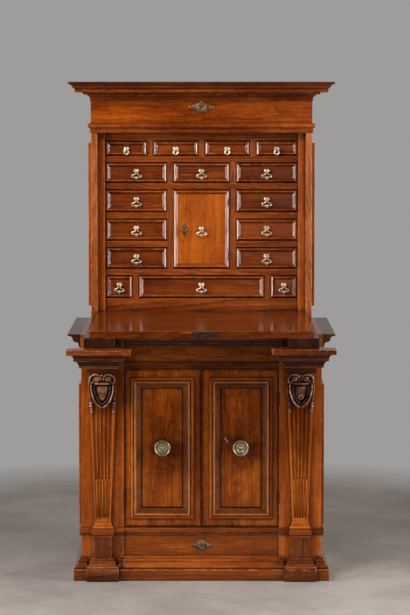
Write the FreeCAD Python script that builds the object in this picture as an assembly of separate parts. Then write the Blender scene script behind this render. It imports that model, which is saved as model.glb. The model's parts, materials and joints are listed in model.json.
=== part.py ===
import FreeCAD, Part
import math
import os

# A walnut fall-front writing cabinet on a cupboard base, in millimetres.
# X runs to the viewer's right, Y from front to back, Z up from the floor.
# The pieces are laid out with Y = 0 on the front of the upper case, and moved at the end
# so that the origin is at the middle of the footprint.
# At rest the fall front is open and lies on the two lopers, which are drawn out.

V = FreeCAD.Vector

# Boards and clearances
board = 22.0
back_board = 12.0
seat_gap = 0.3
side_gap = 0.8
ledge = 4.0
soffit_gap = 2.2

# Base
base_height = 846.0
base_half = 410.0
base_lead = 165.0
base_top_board = 14.0
plinth_height = 39.0
plinth_side_reach = 26.0
plinth_front_reach = 47.0

# Upper case
case_half = 384.0
case_depth = 318.0
frieze_height = 131.7
lid_height = 44.0

# Fall front
flap_thickness = 22.0
flap_length = 621.0
flap_play = 1.0
flap_hinge_back = 21.5
flap_hinge_gap = 0.5
flap_panel_gap = 1.5
flap_panel_thickness = 10.0
flap_panel_slope = 14.0
strip_thickness = 32.0
strip_width = 100.5
strip_inset = 5.0
strip_back = 8.0
lock_plate_width = 84.0
lock_plate_height = 16.0
lock_plate_thickness = 1.5
lock_plate_x = 11.0

# Nest of drawers
nest_cheek = 25.5
nest_front = 40.0
nest_side_front = 30.0
nest_board = 20.5
divider = 18.0
bottom_rail_height = 43.2
head_rail_height = 27.8
top_outer_width = 148.0
second_centre_width = 201.0
door_bay_width = 200.0
bottom_outer_width = 97.0
front_thickness = 20.0
front_moulding_width = 17.0
front_moulding_depth = 9.0
drawer_side = 9.0
drawer_bottom = 6.0
drawer_tail_gap = 9.0
drawer_top_gap = 6.0

# Small door
small_door_gap = 1.0
small_knuckle = 2.5
small_hinge_length = 26.0
small_hinge_inset = 34.0
small_escutcheon_x = -59.5
small_escutcheon_width = 24.0
small_escutcheon_height = 46.0

# Drop pulls: lengths from the pivot
pull_lead = 3.2
pull_below = 8.5
pin_radius = 1.2
pin_clearance = 0.05
eye_radius = 2.6
eye_half = 3.2
post_lobe_radius = 4.0
post_lobe_x = 8.0
post_stem_radius = 2.5
rosette_radius = 9.0
rosette_thickness = 1.5
bail_thickness = 4.0
lobe_x = 11.0
lobe_down = 17.5
lobe_outer = 7.5
lobe_inner = 4.2
crown_lobe_down = 10.0
bail_bar_bottom = 25.0
bail_slot_half = 1.8
drop_top = 22.0
drop_tip = 34.0
drop_half = 6.0
pull_centre_down = 14.5
ring_radius = 8.2
ring_wire = 2.1
ring_centre_down = 12.0
ring_pull_centre_down = 7.0
bow_lobe_radius = 6.5
bow_lobe_x = 6.0
bow_lobe_up = 6.0

# Crown, frieze and case mouldings
crown_reach = 74.0
crown_wall = 20.0
lid_board = 16.0
cove_reach = 13.0
cove_height = 21.5
frieze_foot_reach = 10.0
frieze_foot_height = 32.0
frieze_escutcheon_width = 91.0
frieze_escutcheon_height = 45.0
frieze_escutcheon_up = 88.0
escutcheon_thickness = 2.0
keyhole_radius = 3.6
keyhole_drop = 11.0

# Raised frames on the sides
side_frame_width = 34.0
side_frame_thickness = 10.0
case_frame_up = 20.0
case_frame_drop = 37.0
base_frame_up = 8.0
base_frame_drop = 179.0
side_frame_inset = 20.0

# Base front
post_width = 145.0
post_lead = 7.0
housing_lead = 41.0
housing_drop = 76.0
cornice_side_reach = 44.5
cornice_side_height = 51.0
cornice_front_height = 45.0
base_frieze_drop = 99.0
architrave_drop = 122.0
architrave_reach = 8.0
dado_low = 149.0
dado_height = 26.0
dado_reach = 8.0
pedestal_inset = 73.0
pedestal_half = 30.5
pedestal_reach = 24.5
pedestal_step = 5.0
pedestal_lead = 40.0
foot_moulding_height = 39.0
foot_moulding_reach = 24.0
pilaster_lead = 25.0
pilaster_foot_height = 30.0
pilaster_drop = 133.0
pilaster_low_half = 26.5
pilaster_high_half = 49.0
pilaster_foot_half = 32.0
flute_up = 9.0
flute_drop = 103.0
flute_low_radius = 3.6
flute_high_radius = 6.6
flutes = 5

# Shield consoles
console_height = 123.0
console_half = 47.0
console_back_lead = 41.0
console_shield_lead = 62.0
console_scroll_radius = 23.0
console_scroll_x = 27.0
console_scroll_lead = 70.0
console_bar_half = 30.0
console_bar_drop = 47.0
console_bar_height = 12.0
boss_drop = 77.0
boss_radius = 11.0
boss_wire = 4.0
tassel_x = 42.0
tassel_drop = 91.0
tassel_length = 52.0
tassel_radius = 7.0
tassel_beads = 4

# Lopers
loper_inset = 81.0
loper_core_half = 59.0
loper_core_depth = 25.0
loper_reach = 44.0
loper_head_height = 63.0
loper_bar_half = 50.0
loper_bar_height = 45.0
loper_play = 0.5
loper_tail_gap = 6.0
left_loper_front = 660.0
right_loper_front = 642.0

# Base doors
door_foot_gap = 3.5
door_head_gap = 1.5
door_gap = 1.2
door_meeting = 0.6
door_outer_stile = 25.0
door_inner_stile = 30.0
door_low_rail = 31.0
door_high_rail = 33.0
bolection_width = 30.0
bolection_height = 13.0
panel_sink = 6.0
knuckle = 4.5
door_axis_lead = 3.0
door_hinge_length = 44.0
door_hinge_up = 100.5
door_hinge_drop = 102.5
knob_inset = 1.2
knob_up = 2.5
knob_radius = 28.5
knob_reach = 38.0
key_up = 26.0
key_shaft_radius = 2.6
key_shaft_out = 12.0
key_shaft_in = 10.0
key_bow_radius = 12.0
key_bow_hole = 7.5
key_bow_thickness = 3.2
key_tilt = 38.0

# Plinth drawer
plinth_drawer_gap = 1.5
plinth_drawer_depth = 300.0
plinth_drawer_board = 12.0
plinth_escutcheon_width = 72.0
plinth_escutcheon_height = 43.0
plinth_escutcheon_drop = 35.0

# Hinges of the fall front and the lid
flap_knuckle = 4.0
flap_hinge_length = 66.0
flap_hinge_places = (-229.0, 0.0, 233.0)
leaf_thickness = 1.5
leaf_width = 16.0
lid_knuckle = 5.0
lid_hinge_length = 72.0
lid_hinge_x = 250.0
hinge_clearance = 0.4

# Profiles as shares of a moulding's reach and height, from the top down.
# Each point is (reach share, height share, bulge share of the stretch that ends there).
crown_shares = (
    (0, 1, 0), (1, 1, 0), (1, 0.81, 0), (0.86, 0.63, -0.16), (0.77, 0.46, 0.16),
    (0.77, 0.18, 0), (0.49, 0.13, 0), (0.49, 0, 0), (0, 0, 0),
)
cove_shares = ((0, 1, 0), (1, 1, 0), (1, 0.86, 0), (0.2, 0.12, -0.22), (0.2, 0, 0), (0, 0, 0))
frieze_foot_shares = (
    (0, 1, 0), (0.3, 1, 0), (1, 0.8, 0.18), (1, 0.6, 0), (0.62, 0.54, 0),
    (0.3, 0.2, -0.2), (0.3, 0, 0), (0, 0, 0),
)
cornice_shares = (
    (0, 1, 0), (1, 1, 0), (1, 0.86, 0), (0.62, 0.7, -0.2), (0.62, 0.58, 0),
    (0.2, 0.42, 0.1), (0.16, 0.2, 0), (0.06, 0, -0.1), (0, 0, 0),
)
loper_shares = (
    (0, 1, 0), (1, 0.97, 0), (1, 0.72, 0), (0.5, 0.54, -0.2), (0.5, 0.38, 0),
    (0.12, 0.04, -0.2), (0.12, 0, 0), (0, 0, 0),
)
architrave_shares = ((0, 1, 0), (1, 0.9, 0), (1, 0.62, 0), (0.5, 0.4, -0.2), (0.5, 0, 0), (0, 0, 0))
foot_shares = (
    (0, 1, 0), (0.28, 1, 0), (0.28, 0.76, 0), (0.46, 0.7, 0), (0.52, 0.56, 0.2),
    (0.92, 0.2, -0.18), (1, 0.18, 0), (1, 0, 0), (0, 0, 0),
)
dado_shares = ((0, 1, 0), (0.5, 1, 0), (1, 0.74, 0.2), (1, 0.42, 0), (0.4, 0, -0.2), (0, 0, 0))
# Fronts: (inset share of the moulding's width, rise share of its depth).
front_shares = ((0, 0.22), (0.47, 1), (0.56, 1), (0.7, 0.72), (0.84, 0.3), (1, 0))
bolection_shares = (
    (0, 0.3), (0.06, 0.62), (0.16, 0.66), (0.22, 0.5), (0.3, 0.86), (0.42, 1),
    (0.54, 0.86), (0.74, 0.34), (0.88, 0.12),
)
knob_shares = (
    (0, 0, 0), (0, 0.96, 0), (0.36, 0.88, 0.08), (0.56, 0.84, 0), (0.84, 0.96, -0.1), (0.93, 0.84, 0.2),
    (0.8, 0.72, 0.12), (0.26, 0.5, 0), (0.26, 0.24, 0), (0.5, 0.1, -0.15), (0.5, 0, 0),
)
shield_shares = (
    (-0.82, 0.86, 0), (0.82, 0.86, 0), (0.86, 0.5, 0.05), (0, 0, 0.14), (-0.86, 0.5, 0.14),
    (-0.82, 0.86, 0.05),
)
# The drawer rows share out the height between the rails, from the top row down.
row_shares = (110, 148, 164, 158, 156, 165)
key_place_share = 0.168
lobe_share = 0.2
plate_share = 0.42
leaf_share = 0.6
third = 1 / 3
half = 1 / 2

# Heights and depths that follow from the sizes above
base_front = -base_lead
case_inner = case_half - board
case_back = case_depth - back_board
strip_outer = case_half - strip_inset
strip_inner = strip_outer - strip_width
flap_panel_half = strip_inner - flap_panel_gap
nest_half = case_inner - nest_cheek
post_inner = base_half - post_width
pedestal_x = base_half - pedestal_inset
loper_x = base_half - loper_inset
plinth_drawer_half = post_inner - plinth_drawer_gap
dado_high = dado_low + dado_height
foot_moulding_high = plinth_height + foot_moulding_height
plinth_escutcheon_z = dado_low - plinth_escutcheon_drop
housing_floor = base_height - housing_drop
base_frieze_low = base_height - base_frieze_drop
architrave_low = base_height - architrave_drop
pilaster_low = dado_high + pilaster_foot_height
pilaster_high = base_height - pilaster_drop
flute_low = pilaster_low + flute_up
flute_high = pilaster_high - flute_drop
console_low = pilaster_high - console_height
console_bar_low = pilaster_high - console_bar_drop
boss_z = pilaster_high - boss_drop
tassel_top = pilaster_high - tassel_drop
tassel_low = tassel_top - tassel_length
door_low = dado_high + door_foot_gap
door_high = architrave_low - door_head_gap
door_hinge_low = door_low + door_hinge_up
door_hinge_high = door_high - door_hinge_drop
base_frame_low = dado_high + base_frame_up
base_frame_high = base_height - base_frame_drop
door_panel_in = door_meeting + door_inner_stile + bolection_width
door_panel_out = post_inner - door_gap - door_outer_stile - bolection_width
knob_x = (door_panel_in + door_panel_out) * half - knob_inset
knob_z = (door_low + door_high) * half + knob_up
key_x = door_panel_in + key_place_share * (door_panel_out - door_panel_in)
key_z = knob_z + key_up
strip_low = base_height + seat_gap
flap_low = strip_low + strip_thickness
hinge_z = flap_low + flap_thickness
flap_back = flap_hinge_back - flap_hinge_gap
flap_front = flap_back - flap_length
frieze_low = hinge_z + flap_hinge_gap + flap_length + soffit_gap
frieze_top = frieze_low + frieze_height
lid_low = frieze_top + seat_gap
total_height = lid_low + lid_height
nest_back = case_back - seat_gap
nest_low = hinge_z - seat_gap
case_frame_low = nest_low + case_frame_up
case_frame_high = frieze_low - case_frame_drop
frieze_escutcheon_z = frieze_low + frieze_escutcheon_up
row_space = frieze_low - head_rail_height - nest_low - bottom_rail_height - (len(row_shares) - 1) * nest_board
row_heights = [row_space * share / sum(row_shares) for share in row_shares]
row_1_height, row_2_height, row_3_height, row_4_height, row_5_height, row_6_height = row_heights
row_6_low = nest_low + bottom_rail_height
row_5_low = row_6_low + row_6_height + nest_board
row_4_low = row_5_low + row_5_height + nest_board
row_3_low = row_4_low + row_4_height + nest_board
row_2_low = row_3_low + row_3_height + nest_board
row_1_low = row_2_low + row_2_height + nest_board
door_bay_half = door_bay_width / 2 + side_gap
field_y = nest_front + front_moulding_depth
pull_y = nest_front - pull_lead
post_front = base_front - post_lead
post_back = post_front + board
housing_front = base_front - housing_lead
base_board_low = base_height - base_top_board
bar_top = base_board_low - seat_gap
bar_low = bar_top - loper_bar_height
loper_head_back = housing_front - seat_gap
loper_depth = loper_core_depth + loper_reach
loper_shut_front = loper_head_back - loper_depth
left_loper_travel = left_loper_front + loper_shut_front
right_loper_travel = right_loper_front + loper_shut_front
panel_y = base_front + panel_sink
door_axis_x = post_inner - door_gap * half
door_axis_y = base_front - door_axis_lead
small_axis_x = door_bay_half - small_door_gap * half
lid_axis_y = case_depth + lid_knuckle
back_end = lid_axis_y + lid_knuckle
centre_shift = (left_loper_front - back_end) * half

nodes = {}


def add(name, *shapes):
    """Put solids, or lists of solids, into a named node."""
    for shape in shapes:
        nodes.setdefault(name, []).extend(shape if isinstance(shape, (list, tuple)) else [shape])


def box(x0, x1, y0, y1, z0, z1):
    """A board between two corners."""
    return Part.makeBox(x1 - x0, y1 - y0, z1 - z0, V(x0, y0, z0))


def mirrored(shape):
    """The same shape on the other side of the cabinet."""
    return shape.mirror(V(0, 0, 0), V(1, 0, 0))


def both(*shapes):
    """Each shape with its mirror image."""
    return [*shapes, *[mirrored(shape) for shape in shapes]]


def rod(radius, start, end):
    """A cylinder from one point to another."""
    return Part.makeCylinder(radius, (end - start).Length, start, end - start)


def outline_face(points, place):
    """A flat face round points (u, v, bulge); a bulge swells its stretch into an arc."""
    edges = []
    for (u0, v0, _), (u1, v1, bulge) in zip(points, points[1:]):
        start, end = place(u0, v0), place(u1, v1)
        if bulge:
            way = end - start
            side = place(u0 + v0 - v1, v0 + u1 - u0) - start
            side = side - way * (side.dot(way) / way.dot(way))
            side.normalize()
            middle = (start + end) * half + side * (bulge * way.Length)
            edges.append(Part.Arc(start, middle, end).toShape())
        else:
            edges.append(Part.LineSegment(start, end).toShape())
    first, last = place(*points[0][:2]), place(*points[-1][:2])
    if points[0][:2] != points[-1][:2]:
        edges.append(Part.LineSegment(last, first).toShape())
    return Part.Face(Part.Wire(edges))


def polygon(points):
    """A flat face round the given corners."""
    return Part.Face(Part.makePolygon([*points, points[0]]))


def plan_prism(points, low, height):
    """A prism over a plan outline."""
    return polygon([V(x, y, low) for x, y in points]).extrude(V(0, 0, height))


def front_run(shares, reach, height, low, x0, x1, y_face):
    """A straight moulding along a front."""
    face = outline_face(shares, lambda u, v: V(x0, y_face - u * reach, low + v * height))
    return face.extrude(V(x1 - x0, 0, 0))


def side_run(shares, reach, height, low, x_face, y0, y1):
    """A straight moulding along the right-hand side."""
    face = outline_face(shares, lambda u, v: V(x_face + u * reach, y0, low + v * height))
    return face.extrude(V(0, y1 - y0, 0))


def wrapped(shares, reach, height, low, x_in, y_in, y_back):
    """A moulding round the front and both sides, mitred at the corners."""
    wide, ahead = x_in + reach, y_in - reach
    front = front_run(shares, reach, height, low, -wide, wide, y_in)
    front = front.common(plan_prism([(-x_in, y_in), (x_in, y_in), (wide, ahead), (-wide, ahead)], low, height))
    side = side_run(shares, reach, height, low, x_in, ahead, y_back)
    side = side.common(plan_prism([(x_in, y_in), (wide, ahead), (wide, y_back), (x_in, y_back)], low, height))
    return [front, *both(side)]


def lofted(rings):
    """A solid with flat faces through four-cornered rings."""
    faces = [polygon(rings[0]), polygon(rings[-1])]
    for low, high in zip(rings, rings[1:]):
        for i in range(4):
            j = (i + 1) % 4
            faces.append(polygon([low[i], low[j], high[j], high[i]]))
    solid = Part.Solid(Part.Shell(faces))
    return solid if solid.Volume > 0 else solid.reversed()


def front_ring(x0, x1, z0, z1, y):
    """The corners of an upright rectangle."""
    return [V(x0, y, z0), V(x1, y, z0), V(x1, y, z1), V(x0, y, z1)]


def plan_ring(x0, x1, y0, y1, z):
    """The corners of a level rectangle."""
    return [V(x0, y0, z), V(x1, y0, z), V(x1, y1, z), V(x0, y1, z)]


def moulded_front(x0, x1, z0, z1, y_face, thickness):
    """A drawer front or small door: a raised moulding round a sunk field."""
    field = y_face + front_moulding_depth
    rings = [front_ring(x0, x1, z0, z1, y_face + thickness)]
    for inset, rise in front_shares:
        d = inset * front_moulding_width
        rings.append(front_ring(x0 + d, x1 - d, z0 + d, z1 - d, field - rise * front_moulding_depth))
    return lofted(rings)


def knuckle_set(start, end, radius):
    """A hinge barrel: end knuckles with their pin, and the bored middle knuckle."""
    way = end - start
    first, second = start + way * third, start + way * (2 * third)
    play = way * (hinge_clearance / way.Length)
    pin = radius * half
    fixed = rod(radius, start, first).fuse(rod(radius, second, end)).fuse(rod(pin, start, end))
    moving = rod(radius, first + play, second - play).cut(rod(pin + pin_clearance, start, end))
    return fixed, moving


def keyhole(x, z, y0, y1):
    """The cut for a key: a round hole with a slot under it."""
    hole = rod(keyhole_radius, V(x, y0, z), V(x, y1, z))
    slot = box(x - keyhole_radius * half, x + keyhole_radius * half, y0, y1, z - keyhole_drop, z)
    return hole.fuse(slot)


def escutcheon(x, z, y_face, width, height, lobes):
    """A flat lock plate with round lobes along its edge, pierced by its keyhole."""
    front = y_face - escutcheon_thickness
    small = min(width, height)
    radius = small * lobe_share
    wide, tall = width * half - radius, height * half - radius

    def disc(u, v, r):
        return rod(r, V(x + u, front, z + v), V(x + u, y_face, z + v))

    plate = disc(0, 0, small * plate_share)
    arm = radius * half
    plate = plate.fuse(box(x - wide, x + wide, front, y_face, z - arm, z + arm))
    plate = plate.fuse(box(x - arm, x + arm, front, y_face, z - tall, z + tall))
    for i in range(lobes):
        turn = 2 * math.pi * i / lobes
        plate = plate.fuse(disc(wide * math.cos(turn), tall * math.sin(turn), radius))
    return plate.removeSplitter().cut(keyhole(x, z, front - ledge, y_face + ledge))


# Upper case
def upper_case():
    side = box(case_inner, case_half, 0, case_back, base_height, frieze_top)
    side = side.cut(box(case_inner, case_half, 0, board, frieze_low, frieze_top))
    floor = box(-case_inner, case_inner, 0, case_back, base_height, flap_low - seat_gap)
    hinge_rail = box(-case_inner, case_inner, flap_hinge_back + flap_hinge_gap, nest_front + board,
                     flap_low - seat_gap, nest_low)
    for x in flap_hinge_places:
        hinge_rail = hinge_rail.cut(flap_barrel(x, hinge_clearance))
    well_floor = box(-case_inner, case_inner, board, case_back, frieze_low, frieze_low + nest_board - ledge)
    back = box(-case_half, case_half, case_back, case_depth, base_height, frieze_top)
    add("upper_case", both(side), floor, hinge_rail, well_floor, back)


def flap_barrel(x, clearance):
    """The space that one of the fall front's hinge barrels takes."""
    reach = flap_hinge_length * half + clearance
    return rod(flap_knuckle + clearance, V(x - reach, flap_hinge_back, hinge_z), V(x + reach, flap_hinge_back, hinge_z))


def frieze():
    face = box(-case_half, case_half, 0, board, frieze_low, frieze_top)
    face = face.cut(keyhole(0, frieze_escutcheon_z, -ledge, board + ledge))
    cove = wrapped(cove_shares, cove_reach, cove_height, frieze_top - cove_height, case_half, 0, case_depth)
    foot = wrapped(frieze_foot_shares, frieze_foot_reach, frieze_foot_height, frieze_low, case_half, 0, case_depth)
    add("frieze", face, cove, foot)
    add("frieze_escutcheon", escutcheon(0, frieze_escutcheon_z, 0, frieze_escutcheon_width,
                                        frieze_escutcheon_height, 6))


def lid():
    x_in, y_in = case_half - crown_wall, crown_wall
    reach = crown_reach + crown_wall
    add("crown_lid", wrapped(crown_shares, reach, lid_height, lid_low, x_in, y_in, case_depth))
    add("crown_lid", box(-x_in, x_in, y_in, case_depth, total_height - lid_board, total_height))
    add("crown_lid", box(-x_in, x_in, case_depth - crown_wall, case_depth, lid_low, total_height - lid_board))


def lid_hinges():
    reach = lid_hinge_length * half
    leaf_y = case_depth + leaf_thickness
    for x in (-lid_hinge_x, lid_hinge_x):
        fixed, moving = knuckle_set(V(x - reach, lid_axis_y, lid_low), V(x + reach, lid_axis_y, lid_low), lid_knuckle)
        outer = lid_hinge_length * third
        for x0 in (x - reach, x + reach - outer):
            fixed = fixed.fuse(box(x0, x0 + outer, case_depth, leaf_y, lid_low - leaf_width * 2, lid_low))
        mid = outer * half - hinge_clearance
        moving = moving.fuse(box(x - mid, x + mid, case_depth, leaf_y, lid_low + seat_gap, lid_low + leaf_width * 2))
        moving = moving.cut(rod(lid_knuckle * half + pin_clearance, V(x - reach, lid_axis_y, lid_low),
                                V(x + reach, lid_axis_y, lid_low)))
        add("fixed_hinges", fixed)
        add("crown_lid", moving)


# Fall front
def fall_front():
    panel_half = case_inner - flap_play
    panel = box(-panel_half, panel_half, flap_front, flap_back, flap_low, hinge_z)
    for x in flap_hinge_places:
        panel = panel.cut(flap_barrel(x, hinge_clearance))
    low = flap_low - flap_panel_thickness
    edge, slope = flap_panel_half, flap_panel_slope
    raised = lofted([
        plan_ring(-edge, edge, flap_front + ledge, -strip_back, flap_low),
        plan_ring(-edge + slope, edge - slope, flap_front + ledge + slope, -strip_back - slope, low),
    ])
    strip = box(strip_inner, strip_outer, flap_front, -strip_back, strip_low, flap_low)
    add("fall_front", panel, raised)
    add("fall_front_strips", both(strip))
    middle = (flap_low + hinge_z) * half
    plate = box(lock_plate_x - lock_plate_width * half, lock_plate_x + lock_plate_width * half,
                flap_front - lock_plate_thickness, flap_front, middle - lock_plate_height * half,
                middle + lock_plate_height * half)
    add("fall_front_irons", plate)
    reach = flap_hinge_length * half
    outer = flap_hinge_length * third
    leaf_top = hinge_z + leaf_thickness
    for x in flap_hinge_places:
        start, end = V(x - reach, flap_hinge_back, hinge_z), V(x + reach, flap_hinge_back, hinge_z)
        fixed, moving = knuckle_set(start, end, flap_knuckle)
        for x0 in (x - reach, x + reach - outer):
            fixed = fixed.fuse(box(x0, x0 + outer, flap_hinge_back, flap_hinge_back + leaf_width, nest_low, leaf_top))
        mid = outer * half - hinge_clearance
        moving = moving.fuse(box(x - mid, x + mid, flap_hinge_back - leaf_width, flap_hinge_back, hinge_z, leaf_top))
        moving = moving.cut(rod(flap_knuckle * half + pin_clearance, start, end))
        add("fixed_hinges", fixed)
        add("fall_front_irons", moving)


# Pulls
def pull_post(x, z, face):
    """The rosette, the two lobed ears and the pin that a drop pull hangs on."""
    plate = rod(rosette_radius, V(x, face - rosette_thickness, z), V(x, face, z))
    post = plate
    for side in (-1, 1):
        ear = V(x + side * post_lobe_x, pull_y, z)
        stem = rod(post_stem_radius, ear, V(ear.x, face, z))
        post = post.fuse(stem).fuse(Part.makeSphere(post_lobe_radius, ear))
    return post.fuse(rod(pin_radius, V(x - post_lobe_x, pull_y, z), V(x + post_lobe_x, pull_y, z)))


def pull_eye(shape, x, z):
    """A bail with its eye, bored to turn on the pin."""
    start, end = V(x - eye_half, pull_y, z), V(x + eye_half, pull_y, z)
    return shape.fuse(rod(eye_radius, start, end)).cut(rod(pin_radius + pin_clearance, start, end))


def flat_disc(x, z, radius):
    """A disc as thick as a bail."""
    return rod(radius, V(x, pull_y - bail_thickness * half, z), V(x, pull_y + bail_thickness * half, z))


def flat_bar(x0, x1, z0, z1):
    """A bar as thick as a bail."""
    return box(x0, x1, pull_y - bail_thickness * half, pull_y + bail_thickness * half, z0, z1)


def trefoil_bail(x, z):
    """The open three-lobed bail with a pointed drop."""
    low = z - lobe_down
    top = z - crown_lobe_down
    outer = flat_disc(x - lobe_x, low, lobe_outer).fuse(flat_disc(x + lobe_x, low, lobe_outer))
    outer = outer.fuse(flat_disc(x, top, lobe_outer)).fuse(flat_bar(x - lobe_x, x + lobe_x, z - bail_bar_bottom, low))
    inner = flat_disc(x - lobe_x, low, lobe_inner).fuse(flat_disc(x + lobe_x, low, lobe_inner))
    inner = inner.fuse(flat_disc(x, top, lobe_inner)).fuse(flat_bar(x - bail_slot_half, x + bail_slot_half, low, top))
    inner = inner.fuse(flat_bar(x - lobe_x, x + lobe_x, low - bail_slot_half, low + bail_slot_half))
    back, front = pull_y + bail_thickness * half, pull_y - bail_thickness * half
    drop = polygon([V(x - drop_half, back, z - drop_top), V(x, back, z - drop_tip),
                    V(x + drop_half, back, z - drop_top)]).extrude(V(0, front - back, 0))
    return pull_eye(outer.cut(inner).fuse(drop), x, z)


def ring_bail(x, z):
    """The small round bail of the top row."""
    ring = Part.makeTorus(ring_radius, ring_wire, V(x, pull_y, z - ring_centre_down), V(0, 1, 0))
    return pull_eye(ring, x, z)


def pull(name, x, centre, face, round_bail):
    """A drop pull: its post stays on the front, its bail is a piece of its own."""
    down = ring_pull_centre_down if round_bail else pull_centre_down
    z = centre - pull_below + down
    post = pull_post(x, z, face)
    if round_bail:
        for side in (-1, 1):
            at = V(x + side * bow_lobe_x, face, z + bow_lobe_up)
            post = post.fuse(rod(bow_lobe_radius, at - V(0, rosette_thickness, 0), at))
    add(name + "_bail", ring_bail(x, z) if round_bail else trefoil_bail(x, z))
    return post


# Nest of drawers
def drawer(name, x0, x1, low, height, round_bail):
    """A drawer: moulded front, two sides, back, bottom and the post of its pull."""
    x0, x1 = x0 + side_gap, x1 - side_gap
    z0, z1 = low + seat_gap, low + height - side_gap
    back_of_front = nest_front + front_thickness
    tail = nest_back - drawer_tail_gap
    side_top = z1 - drawer_top_gap
    floor_top = z0 + drawer_bottom
    inner_0, inner_1 = x0 + drawer_side, x1 - drawer_side
    add(name, moulded_front(x0, x1, z0, z1, nest_front, front_thickness))
    add(name, box(x0, inner_0, back_of_front, tail, z0, side_top))
    add(name, box(inner_1, x1, back_of_front, tail, z0, side_top))
    add(name, box(inner_0, inner_1, tail - drawer_side, tail, z0, side_top))
    add(name, box(inner_0, inner_1, back_of_front, tail - drawer_side, z0, floor_top))
    add(name, pull(name, (x0 + x1) * half, (z0 + z1) * half, field_y, round_bail))


def row(names, widths, low, height, round_bail=False):
    """A full row of drawers, and the upright dividers between them."""
    x = -nest_half
    for i, (name, width) in enumerate(zip(names, widths)):
        drawer(name, x, x + width, low, height, round_bail)
        x = x + width
        if i < len(widths) - 1:
            add("drawer_nest", box(x, x + divider, nest_front, nest_back, low, low + height))
            x = x + divider


def nest():
    def shelf(x0, x1, top_of_row):
        add("drawer_nest", box(x0, x1, nest_front, nest_back, top_of_row, top_of_row + nest_board))

    top_inner_width = (2 * nest_half - 2 * top_outer_width - 3 * divider) * half
    second_outer_width = (2 * nest_half - second_centre_width - 2 * divider) * half
    bottom_centre_width = 2 * nest_half - 2 * bottom_outer_width - 2 * divider
    bay_outer = door_bay_half + divider
    row(["top_drawer_1", "top_drawer_2", "top_drawer_3", "top_drawer_4"],
        [top_outer_width, top_inner_width, top_inner_width, top_outer_width], row_1_low, row_1_height, True)
    row(["second_drawer_left", "second_drawer_centre", "second_drawer_right"],
        [second_outer_width, second_centre_width, second_outer_width], row_2_low, row_2_height)
    row(["bottom_drawer_left", "bottom_drawer_centre", "bottom_drawer_right"],
        [bottom_outer_width, bottom_centre_width, bottom_outer_width], row_6_low, row_6_height)
    for word, low, height in (("third", row_3_low, row_3_height), ("fourth", row_4_low, row_4_height),
                              ("fifth", row_5_low, row_5_height)):
        drawer(word + "_drawer_left", -nest_half, -bay_outer, low, height, False)
        drawer(word + "_drawer_right", bay_outer, nest_half, low, height, False)
    upright = box(door_bay_half, bay_outer, nest_front, nest_back, row_5_low, row_3_low + row_3_height)
    for z in small_hinge_lows():
        upright = upright.cut(rod(small_knuckle + hinge_clearance, V(small_axis_x, nest_front, z - hinge_clearance),
                                  V(small_axis_x, nest_front, z + small_hinge_length + hinge_clearance)))
    left_upright = box(-bay_outer, -door_bay_half, nest_front, nest_back, row_5_low, row_3_low + row_3_height)
    side = box(nest_half, case_inner, nest_side_front, nest_back, nest_low, frieze_low)
    rail = box(-nest_half, nest_half, nest_front, nest_back, nest_low, row_6_low)
    head = box(-nest_half, nest_half, nest_front, nest_back, row_1_low + row_1_height, frieze_low)
    add("drawer_nest", upright, left_upright, both(side), rail, head)
    shelf(-nest_half, nest_half, row_6_low + row_6_height)
    shelf(-nest_half, nest_half, row_3_low + row_3_height)
    shelf(-nest_half, nest_half, row_2_low + row_2_height)
    for top in (row_5_low + row_5_height, row_4_low + row_4_height):
        shelf(-nest_half, -bay_outer, top)
        shelf(bay_outer, nest_half, top)


def small_hinge_lows():
    """The lower ends of the small door's two hinges."""
    top = row_3_low + row_3_height
    return row_5_low + small_hinge_inset, top - small_hinge_inset - small_hinge_length


def vertical_hinge(x, y, z, length, radius, post_x, gap, back):
    """An upright butt hinge on the right of a door: fixed part and moving part."""
    fixed, moving = knuckle_set(V(x, y, z), V(x, y, z + length), radius)
    leaf, outer = gap * leaf_share, length * third
    for z0 in (z, z + length - outer):
        fixed = fixed.fuse(box(post_x - leaf, post_x, y, back, z0, z0 + outer))
    edge = post_x - gap
    moving = moving.fuse(box(edge, edge + leaf, y, back, z + outer + hinge_clearance, z + 2 * outer - hinge_clearance))
    return fixed, moving.cut(rod(radius * half + pin_clearance, V(x, y, z), V(x, y, z + length)))


def small_door():
    top = row_3_low + row_3_height - small_door_gap
    low = row_5_low + small_door_gap
    x1 = door_bay_half - small_door_gap
    leaf = moulded_front(-x1, x1, low, top, nest_front, front_thickness)
    mid = (low + top) * half
    centre = mid - pull_below * half
    leaf = leaf.cut(keyhole(small_escutcheon_x, centre, field_y - ledge, nest_front + front_thickness + ledge))
    for z in small_hinge_lows():
        fixed, moving = vertical_hinge(small_axis_x, nest_front, z, small_hinge_length, small_knuckle,
                                       door_bay_half, small_door_gap, nest_front + front_thickness * half)
        add("fixed_hinges", fixed)
        add("small_door", moving)
    add("small_door", leaf, pull("small_door", 0, centre, field_y, False))
    add("small_door_escutcheon", escutcheon(small_escutcheon_x, centre, field_y, small_escutcheon_width,
                                            small_escutcheon_height, 4))


# Raised frames on both sides
def side_frame(x_face, y0, y1, z0, z1):
    """Four mitred strips applied to the right-hand side."""
    w = side_frame_width
    outer = [(y0, z0), (y1, z0), (y1, z1), (y0, z1)]
    inner = [(y0 + w, z0 + w), (y1 - w, z0 + w), (y1 - w, z1 - w), (y0 + w, z1 - w)]
    strips = []
    for i in range(4):
        j = (i + 1) % 4
        strip = polygon([V(x_face, *p) for p in (outer[i], outer[j], inner[j], inner[i])])
        strips.append(strip.extrude(V(side_frame_thickness, 0, 0)))
    return strips


def side_frames():
    back = case_depth - side_frame_inset
    upper = side_frame(case_half, side_frame_inset, back, case_frame_low, case_frame_high)
    lower = side_frame(base_half, post_back, back, base_frame_low, base_frame_high)
    add("side_frames", both(*upper, *lower))


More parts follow.
